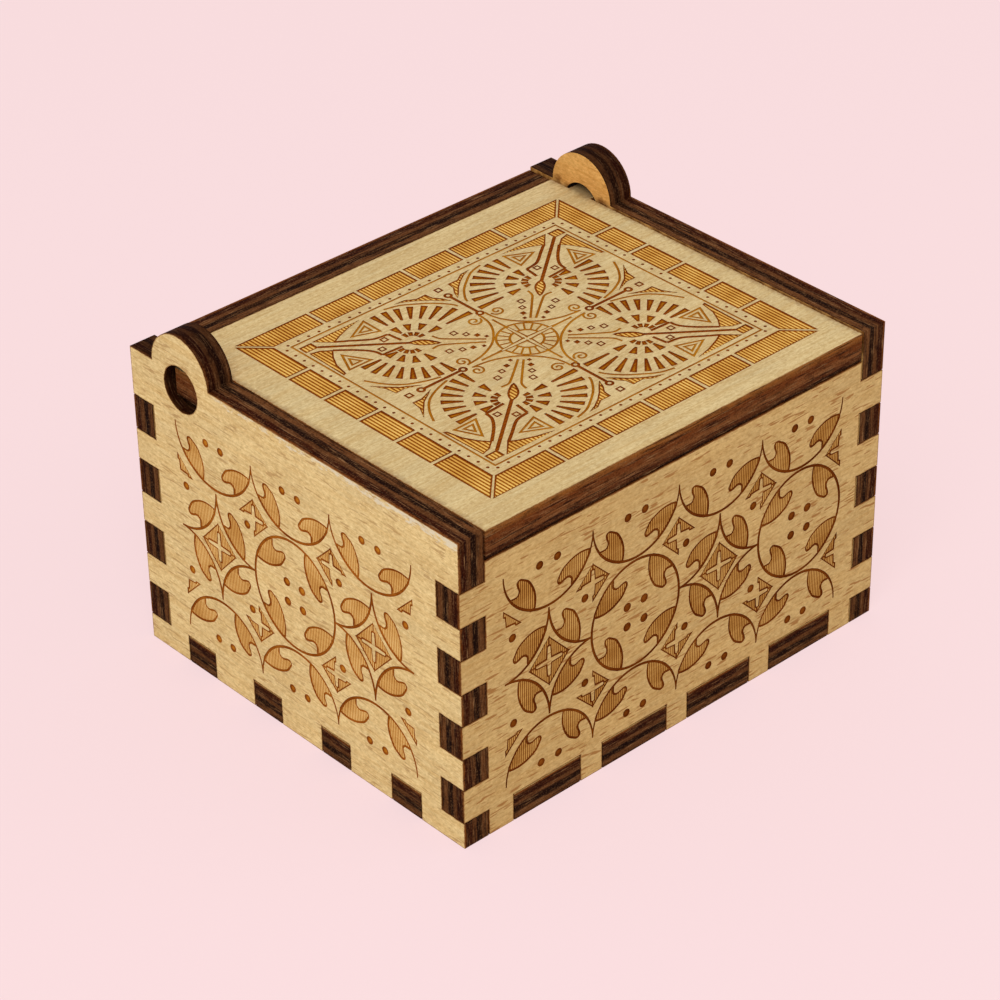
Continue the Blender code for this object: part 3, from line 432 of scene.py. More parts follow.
# One quarter of the mandala, with the wheel's centre at (0, 0)
ARM = ((18.25, 14.85), (9.8, 8.15))
ARM_END = (19.1, 15.42)
ARM_END_HALF = (0.8, 0.58)
BRANCHES = (((16.17, 14.44), (14.72, 13.41), (13.2, 12.25), (12.2, 11.73), (10.69, 11.54)),
            ((10.69, 11.54), (10.43, 9.54)),
            ((17.43, 13.15), (15.73, 11.6), (14.72, 10.44), (14.21, 9.54), (14.09, 8.57)),
            ((14.09, 8.57), (11.25, 8.37)))
BUD = ((10.1, 8.4), (9.3, 8.3), (8.4, 7.6), (7.7, 6.1), (8.9, 6.7), (9.75, 7.5))
CORNER_PATCHES = (((17.9, 16.1), (10.9, 16.2), (13.2, 15.7), (15.0, 15.0), (16.2, 14.4)),
                  ((19.75, 14.3), (18.6, 14.0), (17.5, 13.15), (18.4, 12.0), (19.25, 10.4),
                   (19.65, 8.4), (19.95, 8.3)))
TRIANGLES = (((14.02, 13.93), (10.81, 15.63), (10.84, 12.67)),
             ((17.40, 11.65), (18.81, 8.66), (15.66, 8.63)))
INNER_TRIANGLE = 0.42
INNER_LINE_WIDTH = 0.28
ARM_SQUARES = ((11.78, 10.93), (13.29, 9.53))
ARM_SQUARE = (0.33, 0.22)
BEADS = ((5.20, 6.56, 0.85), (4.32, 5.44, 0.75), (3.54, 4.43, 0.62), (2.93, 3.53, 0.45),
         (8.15, 3.98, 0.85), (6.84, 3.25, 0.75), (5.66, 2.75, 0.62), (4.56, 2.17, 0.45))
STEMS = (((7.35, 7.79), (7.1, 6.8), (6.3, 5.9), (3.38, 3.07)),
         ((9.17, 5.66), (8.17, 5.72), (7.16, 5.14), (3.82, 2.62)))
ARCS = (((7.45, 16.0), (5.6, 15.5), (3.9, 14.4), (2.3, 13.1), (1.1, 11.6), (0.75, 10.8)),
        ((19.2, 5.8), (18.1, 3.85), (16.6, 2.2), (14.5, 1.1), (12.5, 0.5)))
WINGS = (((5.77, 16.1), (4.38, 15.95), (3.2, 15.2), (1.80, 15.25), (1.68, 14.2), (1.0, 13.3),
          (0.48, 12.18), (1.2, 12.9), (2.12, 13.9), (3.25, 14.85), (4.51, 15.65)),
         ((19.57, 4.63), (18.5, 2.82), (18.3, 1.42), (17.1, 1.48), (15.0, 0.62), (16.1, 1.3),
          (17.3, 2.05), (18.4, 3.2)))

# Fans: corner, first and last angle, and what the long wedges gain. Volutes: centre, angle and sense
FANS = (((9.45, 8.70), 90.0, 180.0, 1.75), ((10.55, 7.88), 0.0, -90.0, 0.40))
VOLUTES = (((1.75, 6.95), 180.0, 1), ((8.67, 1.27), 270.0, -1))
VOLUTE_TURN = 520
VOLUTE_STEPS = 24
VOLUTE_WIDTH = 0.27

# Side of the star between the fans
HOLLOW_SIDE = ((0.48, 7.6), (0.48, 6.8), (0.75, 5.5), (1.65, 3.85), (3.4, 2.05), (5.65, 0.9),
               (7.6, 0.48), (8.6, 0.42))


def box_outline(half, middle=(0.0, 0.0)):
    return [(middle[0] + half[0] * su, middle[1] + half[1] * sv) for su, sv in ALL_QUARTERS]


def hollow_square(ornament, middle, half, width):
    ornament.stroke(LINE, box_outline((half, half), middle), width, closed=True)


def patch(ornament, points, outline):
    """Filled shape with the lid's wide hatch."""
    ornament.solid(points, outline, LID_PITCH, LID_HATCH)


def brick_quarter():
    """The bricks of one quarter of the frame, cut off at a slant in the corner."""
    quarter = Ornament()
    half_gap = BRICK_GAP / 2
    for turned, pitch in zip((False, True), BRICK_PITCHES):
        along_half, across_half = BRICK_FRAME[::-1] if turned else BRICK_FRAME
        inner = across_half - BRICK_HEIGHT
        for i in range(3):
            low = i * pitch + half_gap
            high = (i + 1) * pitch - half_gap
            points = [(low, inner), (high, inner), (high, across_half), (low, across_half)]
            if i == 2:
                points[1] = (along_half - BRICK_HEIGHT - half_gap, inner)
                points[2] = (along_half - half_gap, across_half)
            if turned:
                points = [(v, u) for u, v in points]
            patch(quarter, points, BRICK_OUTLINE)
    return quarter


def dotted_row(ornament):
    """Small pricks on a rectangle, none of them twice."""
    for turned in (False, True):
        along_half, across_half = DOT_ROW[::-1] if turned else DOT_ROW
        count = round(2 * along_half / DOT_PITCH)
        for i in range(count):
            step = -along_half + 2 * along_half * (i + 0.5) / count
            for side in (across_half, -across_half):
                middle = (side, step) if turned else (step, side)
                ornament.cut(LINE, circle(middle, DOT_RADIUS, 8))


def wedge(centre, ahead, reaches, widths):
    """Four-sided patch along a direction, with its width at the near and at the far end."""
    points = []
    for end, side in ((0, 1), (1, 1), (1, -1), (0, -1)):
        half = side * widths[end] / 2
        points.append((centre[0] + ahead[0] * reaches[end] - ahead[1] * half,
                       centre[1] + ahead[1] * reaches[end] + ahead[0] * half))
    return points


def fan(ornament, centre, first, last, growth):
    """Wedges round a corner between two angles: long ones outside, shorter ones and stubs inside.

    rings holds how many wedges, how far out they begin and end, each with what it gains from the
    first to the last, and a wedge's two widths. The wider ones have a lighter core.
    """
    rings = ((8, (4.35, 0.75), (6.95, growth), (0.14, 0.62)),
             (4, (1.95, 0.5), (3.35, 0.6), (0.14, 0.80)),
             (4, (0.95, 0.0), (1.60, 0.0), (0.26, 0.38)))
    for count, inner, outer, widths in rings:
        for i in range(count):
            share = i / (count - 1)
            ahead = polar((0, 0), (1, 1), first + (last - first) * share)
            near = inner[0] + inner[1] * share
            far = outer[0] + outer[1] * share ** 2
            points = wedge(centre, ahead, (near, far), widths)
            ornament.cut(HATCH, points)
            ornament.stroke(LINE, points, PATCH_OUTLINE, closed=True)
            if widths[1] > 0.5:
                core = (near + (far - near) * 0.55, far - PATCH_OUTLINE)
                core_widths = (0.04, widths[1] - 2 * PATCH_OUTLINE)
                ornament.cut(TRACE, wedge(centre, ahead, core, core_widths))


def arm(quarter):
    """Slanting shaft with its end block, side branches and bud."""
    quarter.stroke(LINE, ARM, SHAFT_WIDTH)
    patch(quarter, box_outline(ARM_END_HALF, ARM_END), PATCH_OUTLINE)
    for points in BRANCHES:
        quarter.stroke(LINE, smooth_outline(points, 3, closed=False), BRANCH_WIDTH)
    patch(quarter, smooth_outline(BUD, 3), BUD_OUTLINE)


def nested_triangle(quarter, corners):
    u0 = sum(u for u, v in corners) / 3
    v0 = sum(v for u, v in corners) / 3
    small = [(u0 + (u - u0) * INNER_TRIANGLE, v0 + (v - v0) * INNER_TRIANGLE) for u, v in corners]
    quarter.stroke(TRACE, corners, TRACE_WIDTH, closed=True)
    quarter.stroke(TRACE, small, INNER_LINE_WIDTH, closed=True)


def bead(quarter, middle, size):
    """Small square, hollow where it is large enough."""
    quarter.cut(LINE, box_outline((size / 2, size / 2), middle))
    if size > 0.7:
        quarter.cut(FACE, box_outline((size / 2 - 0.2, size / 2 - 0.2), middle))


def volute(ornament, centre, start, turn):
    """Scroll that winds in towards its centre."""
    points = []
    for i in range(VOLUTE_STEPS + 1):
        share = i / VOLUTE_STEPS
        reach = 0.92 - 0.80 * share
        points.append(polar(centre, (reach, reach), start + turn * VOLUTE_TURN * share))
    ornament.stroke(TRACE, points, VOLUTE_WIDTH)


def mandala_quarter():
    """One quarter of the lid's ornament, with the wheel's centre at (0, 0)."""
    quarter = Ornament()
    for values in FANS:
        fan(quarter, *values)
    arm(quarter)
    for points in CORNER_PATCHES:
        patch(quarter, points, PATCH_OUTLINE)
    for corners in TRIANGLES:
        nested_triangle(quarter, corners)
    for middle in ARM_SQUARES:
        hollow_square(quarter, middle, *ARM_SQUARE)
    for u, v, size in BEADS:
        bead(quarter, (u, v), size)
    for points in STEMS + ARCS:
        quarter.stroke(TRACE, smooth_outline(points, 4, closed=False), TRACE_WIDTH)
    for points in WINGS:
        patch(quarter, points, WING_OUTLINE)
    quarter.stroke(TRACE, smooth_outline(HOLLOW_SIDE, 4, closed=False), TRACE_WIDTH)
    for values in VOLUTES:
        volute(quarter, *values)
    return quarter


def wheel(ornament):
    """Two circles with spokes between them; the four axes stay free for the needles."""
    for side in range(4):
        for step in range(1, 5):
            turn = 90 * side + SPOKE_STEP * step
            ends = [polar((0, 0), (radius, radius), turn) for radius in WHEEL_RADII]
            ornament.stroke(TRACE, ends, SPOKE_WIDTH)
    for radius in WHEEL_RADII:
        ornament.stroke(TRACE, circle((0, 0), radius, 48), TRACE_WIDTH, closed=True)


def axis_pin(ornament, across, side, needle, rings, square):
    """Needle, shaft between two rings and end square on one of the four arms."""
    pin = Ornament()
    half, foot = NEEDLE_FOOT
    pin.cut(FACE, [(-half, foot), (half, foot), (0.0, needle)])
    half, foot = NEEDLE_LINE
    pin.stroke(TRACE, [(-half, foot), (0.0, needle), (half, foot)], FINE_TRACE)
    pin.stroke(TRACE, [(0.0, needle * 0.55), (0.0, needle)], TRACE_WIDTH)
    pin.stroke(LINE, [(0.0, rings[0]), (0.0, rings[1])], SHAFT_LINE)
    for height in rings:
        pin.cut(LINE, circle((0.0, height), PIN_RING[0], 16))
        pin.cut(FACE, circle((0.0, height), PIN_RING[1], 16))
    hollow_square(pin, (0.0, square), *PIN_SQUARE)
    for level, points in pin.shapes:
        turned = [(v * side, u) if across else (u, v * side) for u, v in points]
        ornament.cut(level, turned)


def lid_ornament(centre):
    """Mandala inside a dotted row and a frame of bricks."""
    whole = Ornament()
    dotted_row(whole)
    whole.stroke(TRACE, box_outline(INNER_LINE), FINE_TRACE, closed=True)
    wheel(whole)
    for across, sizes in ((False, SHORT_PIN), (True, LONG_PIN)):
        for side in (1, -1):
            axis_pin(whole, across, side, *sizes)
    ornament = Ornament()
    ornament.mirrored(centre, (1, 1), whole)
    for quarter in (brick_quarter(), mandala_quarter()):
        for signs in ALL_QUARTERS:
            ornament.mirrored(centre, signs, quarter)
    return ornament


def face_shapes(board, ornament):
    """All that is on a board's face, as levels and outlines in painting order. A hole has no level."""
    rims = Ornament()
    for loop in board.loops:
        rims.stroke(RIM, loop, RIM_WIDTH * 2, closed=True)
    holes = [(None, counterclockwise(loop)) for loop in board.loops[1:]]
    return [(FACE, counterclockwise(board.loops[0]))] + rims.shapes + ornament.shapes + holes


def face_triangles(board, ornament):
    """Points of the face, and its triangles with the level of the last shape over each."""
    points, outlines, levels = [], [], []
    for level, outline in face_shapes(board, ornament):
        outlines.append(list(range(len(points), len(points) + len(outline))))
        points.extend(Vector(point) for point in outline)
        levels.append(level)
    flat, _, triangles, _, _, sources = delaunay_2d_cdt(points, [], outlines, 1, NEARNESS)
    kept = []
    for triangle, source in zip(triangles, sources):
        if 0 in source and levels[max(source)] is not None:
            kept.append((triangle, levels[max(source)]))
    return flat, kept


class CutMesh:
    """Closed mesh of a board with the ornament cut into its outer face."""

    def __init__(self, board, ornament):
        self.board = board
        self.coords = []
        self.numbers = {}
        self.polygons = []
        self.slots = []
        self.flat, triangles = face_triangles(board, ornament)
        owner = self.add_face(triangles)
        self.add_walls(owner)
        self.add_back([edge for edge in owner if edge[::-1] not in owner])

    def corner(self, index, depth):
        """Number of the point that lies so deep under a point of the face."""
        key = (index, depth)
        if key not in self.numbers:
            self.numbers[key] = len(self.coords)
            self.coords.append(self.board.place(*self.flat[index], depth))
        return self.numbers[key]

    def add(self, slot, corners):
        self.polygons.append(corners)
        self.slots.append(slot)

    def add_face(self, triangles):
        """The face's triangles at their levels. Gives the level on the left of each edge."""
        owner = {}
        for triangle, level in triangles:
            self.add(level, [self.corner(i, DEPTHS[level]) for i in triangle])
            for side in sides_of(triangle):
                owner[side] = level
        return owner

    def add_walls(self, owner):
        """Cut sides of the board, and steps between levels of the face."""
        bottom = self.board.thickness
        for (start, end), level in owner.items():
            other = owner.get((end, start))
            top = DEPTHS[level]
            if other is None:
                self.add(EDGE, [self.corner(end, top), self.corner(start, top),
                                self.corner(start, bottom), self.corner(end, bottom)])
            elif top < DEPTHS[other]:
                down = self.upright(start, top, DEPTHS[other])
                up = self.upright(end, top, DEPTHS[other])[::-1]
                self.add(LINE, up[-1:] + down + up[:-1])

    def upright(self, index, top, bottom):
        """Points down one end of a step, with those of levels that end between its two."""
        between = [depth for depth in sorted(set(DEPTHS.values()))
                   if top < depth < bottom and (index, depth) in self.numbers]
        return [self.corner(index, depth) for depth in (top, *between, bottom)]

    def add_back(self, outline):
        """Plain back between the lower edges of the cut sides."""
        bottom = self.board.thickness
        rear = [index for index, depth in self.numbers if depth == bottom]
        position = {index: k for k, index in enumerate(rear)}
        edges = [(position[start], position[end]) for start, end in outline]
        points = [Vector(self.flat[index]) for index in rear]
        _, _, triangles, origins, _, _ = delaunay_2d_cdt(points, edges, [], 0, NEARNESS)
        for triangle in triangles:
            ids = [rear[origins[i][0]] for i in triangle]
            if inside_board(self.board, [self.flat[i] for i in ids]):
                self.add(BACK, [self.corner(i, bottom) for i in reversed(ids)])


def engraved_board(board, ornament, materials, body):
    """Piece that stands for a board's solid, with the ornament cut into its outer face."""
    name = "engraved_" + board.node
    cut = CutMesh(board, ornament)
    mesh = bpy.data.meshes.new(name)
    mesh.from_pydata([tuple(point) for point in cut.coords], [], cut.polygons)
    used = sorted(set(cut.slots))
    for slot in used:
        mesh.materials.append(materials[slot])
    mesh.polygons.foreach_set("material_index", [used.index(slot) for slot in cut.slots])
    mesh.update()
    piece = bpy.data.objects.new(name, mesh)
    bpy.context.scene.collection.objects.link(piece)
    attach(piece, body)
    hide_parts(board.node)


def inside_board(board, corners):
    """Whether a triangle's middle lies inside the outline and outside every hole."""
    u = sum(c[0] for c in corners) / 3
    v = sum(c[1] for c in corners) / 3
    odd = False
    for loop in board.loops:
        for (u0, v0), (u1, v1) in sides_of(loop):
            if (v0 <= v) != (v1 <= v) and u < u0 + (u1 - u0) * (v - v0) / (v1 - v0):
                odd = not odd
    return odd


class Nodes:
    """A node tree, with short calls for the nodes that the finishes use."""

    def __init__(self, tree):
        self.tree = tree

    def node(self, kind, inputs=(), **settings):
        made = self.tree.nodes.new("ShaderNode" + kind)
        for key, value in settings.items():
            setattr(made, key, value)
        for key, value in dict(inputs).items():
            self.feed(made.inputs[key], value)
        return made

    def feed(self, socket, value):
        if isinstance(value, bpy.types.NodeSocket):
            self.tree.links.new(value, socket)
        elif isinstance(value, tuple) and len(value) == 3 and socket.type == "RGBA":
            socket.default_value = (*value, 1.0)
        else:
            socket.default_value = value

    def place(self, stretch=(1, 1, 1), shift=(0, 0, 0)):
        """Coordinates in millimetres, divided by the stretch along each axis, then shifted."""
        source = self.node("TexCoord")
        scale = tuple(1 / (MM * s) for s in stretch)
        mapping = self.node("Mapping", {"Vector": source.outputs["Object"], "Scale": scale,
                                        "Location": shift})
        return mapping.outputs[0]

    def axes(self):
        """Coordinates in millimetres, as one socket for each axis."""
        return self.node("SeparateXYZ", {"Vector": self.place()}).outputs

    def noise(self, stretch, shift=(0, 0, 0), detail=3.0, roughness=0.55):
        """Cloudy value from 0 to 1, with features about as long as the stretch in millimetres."""
        made = self.node("TexNoise", {"Vector": self.place(stretch, shift), "Scale": 1.0,
                                      "Detail": detail, "Roughness": roughness})
        return made.outputs["Fac"]

    def spread(self, value, low, high, to_low=0.0, to_high=1.0):
        """Value moved from one range to another and clamped."""
        made = self.node("MapRange", {"Value": value, "From Min": low, "From Max": high,
                                      "To Min": to_low, "To Max": to_high})
        return made.outputs[0]

    def maths(self, operation, first, second=0.0):
        made = self.node("Math", operation=operation)
        self.feed(made.inputs[0], first)
        self.feed(made.inputs[1], second)
        return made.outputs[0]

    def mix(self, share, first, second, blend="MIX"):
        made = self.node("Mix", data_type="RGBA", blend_type=blend)
        self.feed(made.inputs[0], share)
        self.feed(made.inputs[6], first)
        self.feed(made.inputs[7], second)
        return made.outputs[2]

    def ramp(self, value, stops):
        """Colour at a value, between stops of a place and a colour."""
        made = self.node("ValToRGB", {"Fac": value})
        elements = made.color_ramp.elements
        elements[0].position, elements[1].position = stops[0][0], stops[-1][0]
        elements[0].color, elements[1].color = (*stops[0][1], 1), (*stops[-1][1], 1)
        for position, colour in stops[1:-1]:
            elements.new(position).color = (*colour, 1)
        return made.outputs[0]


class Shader(Nodes):
    def __init__(self, name):
        self.material = bpy.data.materials.new(name)
        self.material.use_nodes = True
        super().__init__(self.material.node_tree)

    def finish(self, colour, roughness, bump, strength, height, **fixed):
        """Connect the surface. The bump's height is in millimetres; fixed holds more of its values."""
        surface = self.tree.nodes["Principled BSDF"]
        self.feed(surface.inputs["Base Color"], colour)
        self.feed(surface.inputs["Roughness"], roughness)
        for key, value in fixed.items():
            surface.inputs[key].default_value = value
        relief = {"Height": bump, "Strength": strength, "Distance": height * MM}
        self.tree.links.new(self.node("Bump", relief).outputs[0], surface.inputs["Normal"])
        return self.material


def along(axis, long, short):
    """Stretch with its long side on one axis."""
    return tuple(long if i == axis else short for i in range(3))


def shade(colour, share):
    return tuple(c * share for c in colour)


def tinted(tone, red, green, blue):
    return (tone[0] * red, tone[1] * green, tone[2] * blue)


# Plain wood
VENEER_FLECK = (0.36, 0.155, 0.032)
FRONT_TONE = (0.620, 0.400, 0.152)
SIDE_TONE = (0.865, 0.628, 0.288)
LID_TONE = (0.640, 0.490, 0.240)
CHIPPED = (0.84, 0.72, 0.53)
# Brown of the lid's ends and tabs: partly scorch, partly painted shade under the ears
LID_END_BROWN_AND_SHADE = (0.24, 0.135, 0.050)
SCORCHED = (0.24, 0.085, 0.03)

# Painted shade of the inside, up the wall: darkest just under the rim and orange above it; and how
# strong the flecks are on a wall or the lid
INSIDE_TONE_AND_SHADE = ((0.0, (0.85, 0.75, 0.60)), (0.36, (0.60, 0.44, 0.28)), (0.48, (0.16, 0.09, 0.05)),
         (0.57, (0.22, 0.11, 0.05)), (0.66, (0.86, 0.64, 0.42)), (1.0, (1.00, 0.80, 0.56)))
FLECKS = {SIDE: 0.5, FRONT: 0.95, TOP: 0.10}

DULL = {"Specular IOR Level": 0.02}


def veneer_colour(made, tone, grain, flecks):
    """Colour, fibres and flecks of sanded birch with its grain along one axis."""
    clouds = made.noise(along(grain, 9, 4))
    fibres = made.noise(along(grain, 4, 0.25), (0, 0, 0), 4.0, 0.65)
    streaks = made.noise(along(grain, 18, 0.9), (3, 7, 5))
    grit = made.noise(along(grain, 0.6, 0.30), (7, 7, 2), 3.0, 0.7)
    dashes = made.noise(along(grain, 1.9, 0.24), (11, 2, 6), 0.0)
    patches = made.noise(along(grain, 6, 2.5), (5, 9, 1), 1.0)
    light, dark = tinted(tone, 1.07, 1.06, 1.04), tinted(tone, 0.90, 0.89, 0.88)
    colour = made.mix(made.spread(clouds, 0.33, 0.68), light, dark)
    layers = ((streaks, 0.42, 0.70, 0.6, (0.88, 0.76, 0.58)),
              (fibres, 0.46, 0.72, 0.7, (0.74, 0.60, 0.40)),
              (grit, 0.50, 0.68, 0.6, (0.62, 0.52, 0.38)),
              (grit, 0.46, 0.28, 0.6, (1.30, 1.34, 1.45)))
    for noise, low, high, share, tint in layers:
        colour = made.mix(made.spread(noise, low, high, 0.0, share), colour, tinted(tone, *tint))
    marks = made.maths("MULTIPLY", made.spread(dashes, 0.66, 0.71), made.spread(patches, 0.38, 0.50))
    colour = made.mix(made.maths("MULTIPLY", marks, flecks), colour, VENEER_FLECK)
    return colour, fibres, marks


def brown_and_shade_lid_ends(made, colour):
    """Colour with the lid's ends and tabs turned brown: partly scorch along the lid's edges, partly
    painted shade where the ears shade the lid.
    """
    across = made.axes()[0]
    drift = made.noise((0.8, 0.8, 0.8), (3, 3, 3))
    reach = made.maths("ADD", made.maths("ABSOLUTE", across), made.spread(drift, 0.3, 0.7, -0.35, 0.35))
    return made.mix(made.spread(reach, LID_HALF - 0.9, LID_HALF + 0.2, 0.0, 0.8), colour, LID_END_BROWN_AND_SHADE)


def chipped(made, colour, grain):
    """Colour with the veneer torn in pale splinters under the straight rim, most of all in front."""
    place = made.axes()
    torn = made.noise(along(grain, 1.6, 0.5), (4, 4, 9), 3.0, 0.7)
    near = made.maths("ADD", made.spread(place[2], BOX_RIM - 1.3, BOX_RIM, 0.0, 0.22), torn)
    near = made.maths("ADD", near, made.spread(place[1], 0, -27, 0.0, 0.10))
    straight = made.spread(place[1], EAR_START, EAR_START - 3)
    upper = made.spread(place[2], BOX_RIM - 1.9, BOX_RIM - 0.9)
    close = made.maths("MULTIPLY", straight, upper)
    share = made.maths("MULTIPLY", close, made.spread(near, 0.64, 0.74, 0.0, 0.8))
    return made.mix(share, colour, CHIPPED)


def veneer(name, tone, grain, axis):
    """Sanded birch face of a board whose outside looks along the axis."""
    made = Shader(name)
    colour, fibres, marks = veneer_colour(made, tone, grain, FLECKS[axis])
    if axis == SIDE:
        colour = chipped(made, colour, grain)
    # Lid's ends: scorch and painted shade under the ears
    if axis == TOP:
        colour = brown_and_shade_lid_ends(made, colour)
    bump = made.maths("ADD", fibres, made.maths("MULTIPLY", marks, -0.6))
    rough = made.spread(fibres, 0.3, 0.8, 0.55, 0.72)
    return made.finish(colour, rough, bump, 0.35, 0.05, **{"Specular IOR Level": 0.25})


def toned_and_shaded_inside(name, tone, grain):
    """Inner face: veneer darkened by painted shade, darkest just under the rim where the gap beside the
    lid lies in shade, and orange above it.
    """
    made = Shader(name)
    colour = veneer_colour(made, tone, grain, 0.3)[0]
    upright = made.axes()[2]
    drift = made.noise((1.6, 1.6, 1.6), (2, 2, 5), 4.0)
    height = made.maths("ADD", upright, made.spread(drift, 0.3, 0.7, -0.7, 0.7))
    # Painted shade: darkest just under the rim, in the gap beside the lid; orange above the rim
    tone_and_shade = made.ramp(made.spread(height, BOX_RIM - 8, BOX_RIM + 5), INSIDE_TONE_AND_SHADE)
    colour = made.mix(1.0, colour, tone_and_shade, "MULTIPLY")
    return made.finish(colour, 0.7, drift, 0.3, 0.05, **DULL)


def scorched(name, tone, grain):
    """Veneer at the rim of a cut, browned by the beam."""
    made = Shader(name)
    noise = made.noise(along(grain, 0.8, 0.35))
    colour = made.mix(made.spread(noise, 0.35, 0.65), tinted(tone, 0.8, 0.7, 0.6), SCORCHED)
    return made.finish(colour, 0.7, noise, 0.4, 0.05, **DULL)


def burnt(name, colours, grain, raster=None):
    """Engraved floor: toasted wood, with darker lines at the raster's distance where one is given."""
    light, dark = colours
    made = Shader(name)
    noise = made.noise(along(grain, 2.0, 0.3))
    patches = made.noise((4, 4, 4), (1, 2, 3), 1.0)
    colour = made.mix(made.spread(noise, 0.3, 0.7), light, dark)
    pale, brown = tinted(light, 1.12, 1.22, 1.4), tinted(dark, 0.86, 0.76, 0.62)
    colour = made.mix(made.spread(patches, 0.52, 0.68, 0.0, 0.6), colour, pale)
    colour = made.mix(made.spread(patches, 0.48, 0.34, 0.0, 0.6), colour, brown)
    if raster:
        turns = made.maths("MULTIPLY", made.axes()[1], 2 * math.pi / raster)
        ribs = made.spread(made.maths("SINE", turns), -0.5, 0.9, 0.0, 0.45)
        colour = made.mix(ribs, colour, shade(dark, 0.5))
    return made.finish(colour, 0.8, noise, 0.4, 0.05, **DULL)


# Light and dark tone of each engraved level
SIDE_BURNS = {
    FILL: ((0.86, 0.520, 0.180), (0.78, 0.430, 0.125)),
    HATCH: ((0.58, 0.205, 0.018), (0.44, 0.130, 0.009)),
    LINE: ((0.42, 0.120, 0.010), (0.25, 0.056, 0.004))}
FRONT_BURNS = {
    FILL: ((0.60, 0.310, 0.082), (0.51, 0.238, 0.052)),
    HATCH: ((0.24, 0.060, 0.005), (0.15, 0.034, 0.002)),
    LINE: ((0.20, 0.045, 0.003), (0.12, 0.021, 0.001))}
LID_BURNS = {
    FILL: ((0.78, 0.450, 0.108), (0.68, 0.365, 0.072)),
    TRACE: ((0.42, 0.155, 0.006), (0.31, 0.096, 0.003)),
    HATCH: ((0.37, 0.110, 0.003), (0.27, 0.064, 0.001)),
    LINE: ((0.30, 0.066, 0.002), (0.20, 0.033, 0.001))}

# Plies of a cut edge, from the outer face (0) to the inner one (1), and what the beam left on them; the
# lid's lowest plies also carry painted shade
WALL_STRIPES = (
    (0.0, (0.260, 0.080, 0.014)), (0.06, (0.150, 0.038, 0.006)), (0.11, (0.036, 0.005, 0.001)),
    (0.30, (0.034, 0.005, 0.001)), (0.37, (0.125, 0.044, 0.014)), (0.47, (0.115, 0.038, 0.011)),
    (0.54, (0.008, 0.002, 0.001)), (0.70, (0.012, 0.003, 0.001)), (0.77, (0.150, 0.054, 0.017)),
    (0.94, (0.120, 0.040, 0.011)), (1.0, (0.024, 0.006, 0.002)))
# Lid's plies from 0.80 to 1.0: char, darkened further as painted shade for the shadow line under the
# lid's front edge
LID_PLIES_AND_SHADE = (
    (0.0, (0.340, 0.130, 0.030)), (0.10, (0.280, 0.088, 0.016)), (0.20, (0.215, 0.064, 0.012)),
    (0.29, (0.160, 0.038, 0.007)), (0.47, (0.155, 0.040, 0.009)), (0.58, (0.200, 0.064, 0.018)),
    (0.72, (0.195, 0.064, 0.019)), (0.80, (0.085, 0.020, 0.005)), (0.90, (0.085, 0.023, 0.006)),
    (0.95, (0.020, 0.005, 0.001)), (1.0, (0.009, 0.002, 0.001)))
PLY_STREAK = (0.280, 0.135, 0.055)
PLY_BROWN = (0.060, 0.019, 0.005)
PLY_SOOT = (0.006, 0.001, 0.0005)


def charred_colour(made, axis, face, back, stripes):
    """Colour and fine noise of a laser-cut edge: burnt plies in stripes from the face to the back."""
    fine = made.noise(along(axis, 0.26, 6.0), (0, 0, 0), 4.0, 0.65)
    hair = made.noise(along(axis, 0.15, 3.0), (9, 3, 1), 3.0, 0.7)
    mottle = made.noise(along(axis, 0.7, 1.6), (8, 1, 2), 4.0, 0.7)
    grit = made.noise((0.22, 0.22, 0.22), (2, 6, 4), 2.0, 0.6)
    depth = made.axes()[axis]
    waver = made.maths("ADD", depth, made.spread(mottle, 0.3, 0.7, -0.10, 0.10))
    colour = made.ramp(made.spread(waver, face, back), stripes)
    layers = ((fine, 0.52, 0.64, 0.6, PLY_BROWN), (fine, 0.48, 0.38, 0.8, PLY_SOOT),
              (hair, 0.56, 0.68, 0.8, PLY_STREAK), (mottle, 0.52, 0.66, 0.5, PLY_SOOT),
              (grit, 0.54, 0.68, 0.25, PLY_STREAK), (grit, 0.46, 0.34, 0.4, PLY_SOOT))
    for noise, low, high, share, tone in layers:
        colour = made.mix(made.spread(noise, low, high, 0.0, share), colour, tone)
    return colour, fine


def charred(name, axis, face, back):
    """Laser-cut plywood edge of a board whose outside looks along the axis.

    face and back are its two faces' places on the axis. The ears of the side walls, and what lies
    behind them, are darker.
    """
    made = Shader(name)
    colour, fine = charred_colour(made, axis, face, back, LID_PLIES_AND_SHADE if axis == TOP else WALL_STRIPES)
    if axis == SIDE:
        depth = made.axes()[1]
        behind = made.spread(depth, EAR_START - 1.5, EAR_START + 1.5, 0.0, 0.62)
        colour = made.mix(behind, colour, PLY_SOOT)
    return made.finish(colour, made.spread(fine, 0.3, 0.7, 0.6, 0.85), fine, 0.6, 0.12, **DULL)


def floor_board(name, face, back):
    """Floor board: sanded veneer above and below, burnt plies on every cut side."""
    made = Shader(name)
    edge, fine = charred_colour(made, TOP, face, back, WALL_STRIPES)
    plain = veneer_colour(made, FRONT_TONE, 0, 0.3)[0]
    normal = made.node("TexCoord").outputs["Normal"]
    upright = made.node("SeparateXYZ", {"Vector": normal}).outputs[2]
    flat = made.spread(made.maths("ABSOLUTE", upright), 0.4, 0.6)
    colour = made.mix(flat, edge, plain)
    return made.finish(colour, made.spread(fine, 0.3, 0.7, 0.6, 0.8), fine, 0.4, 0.08, **DULL)


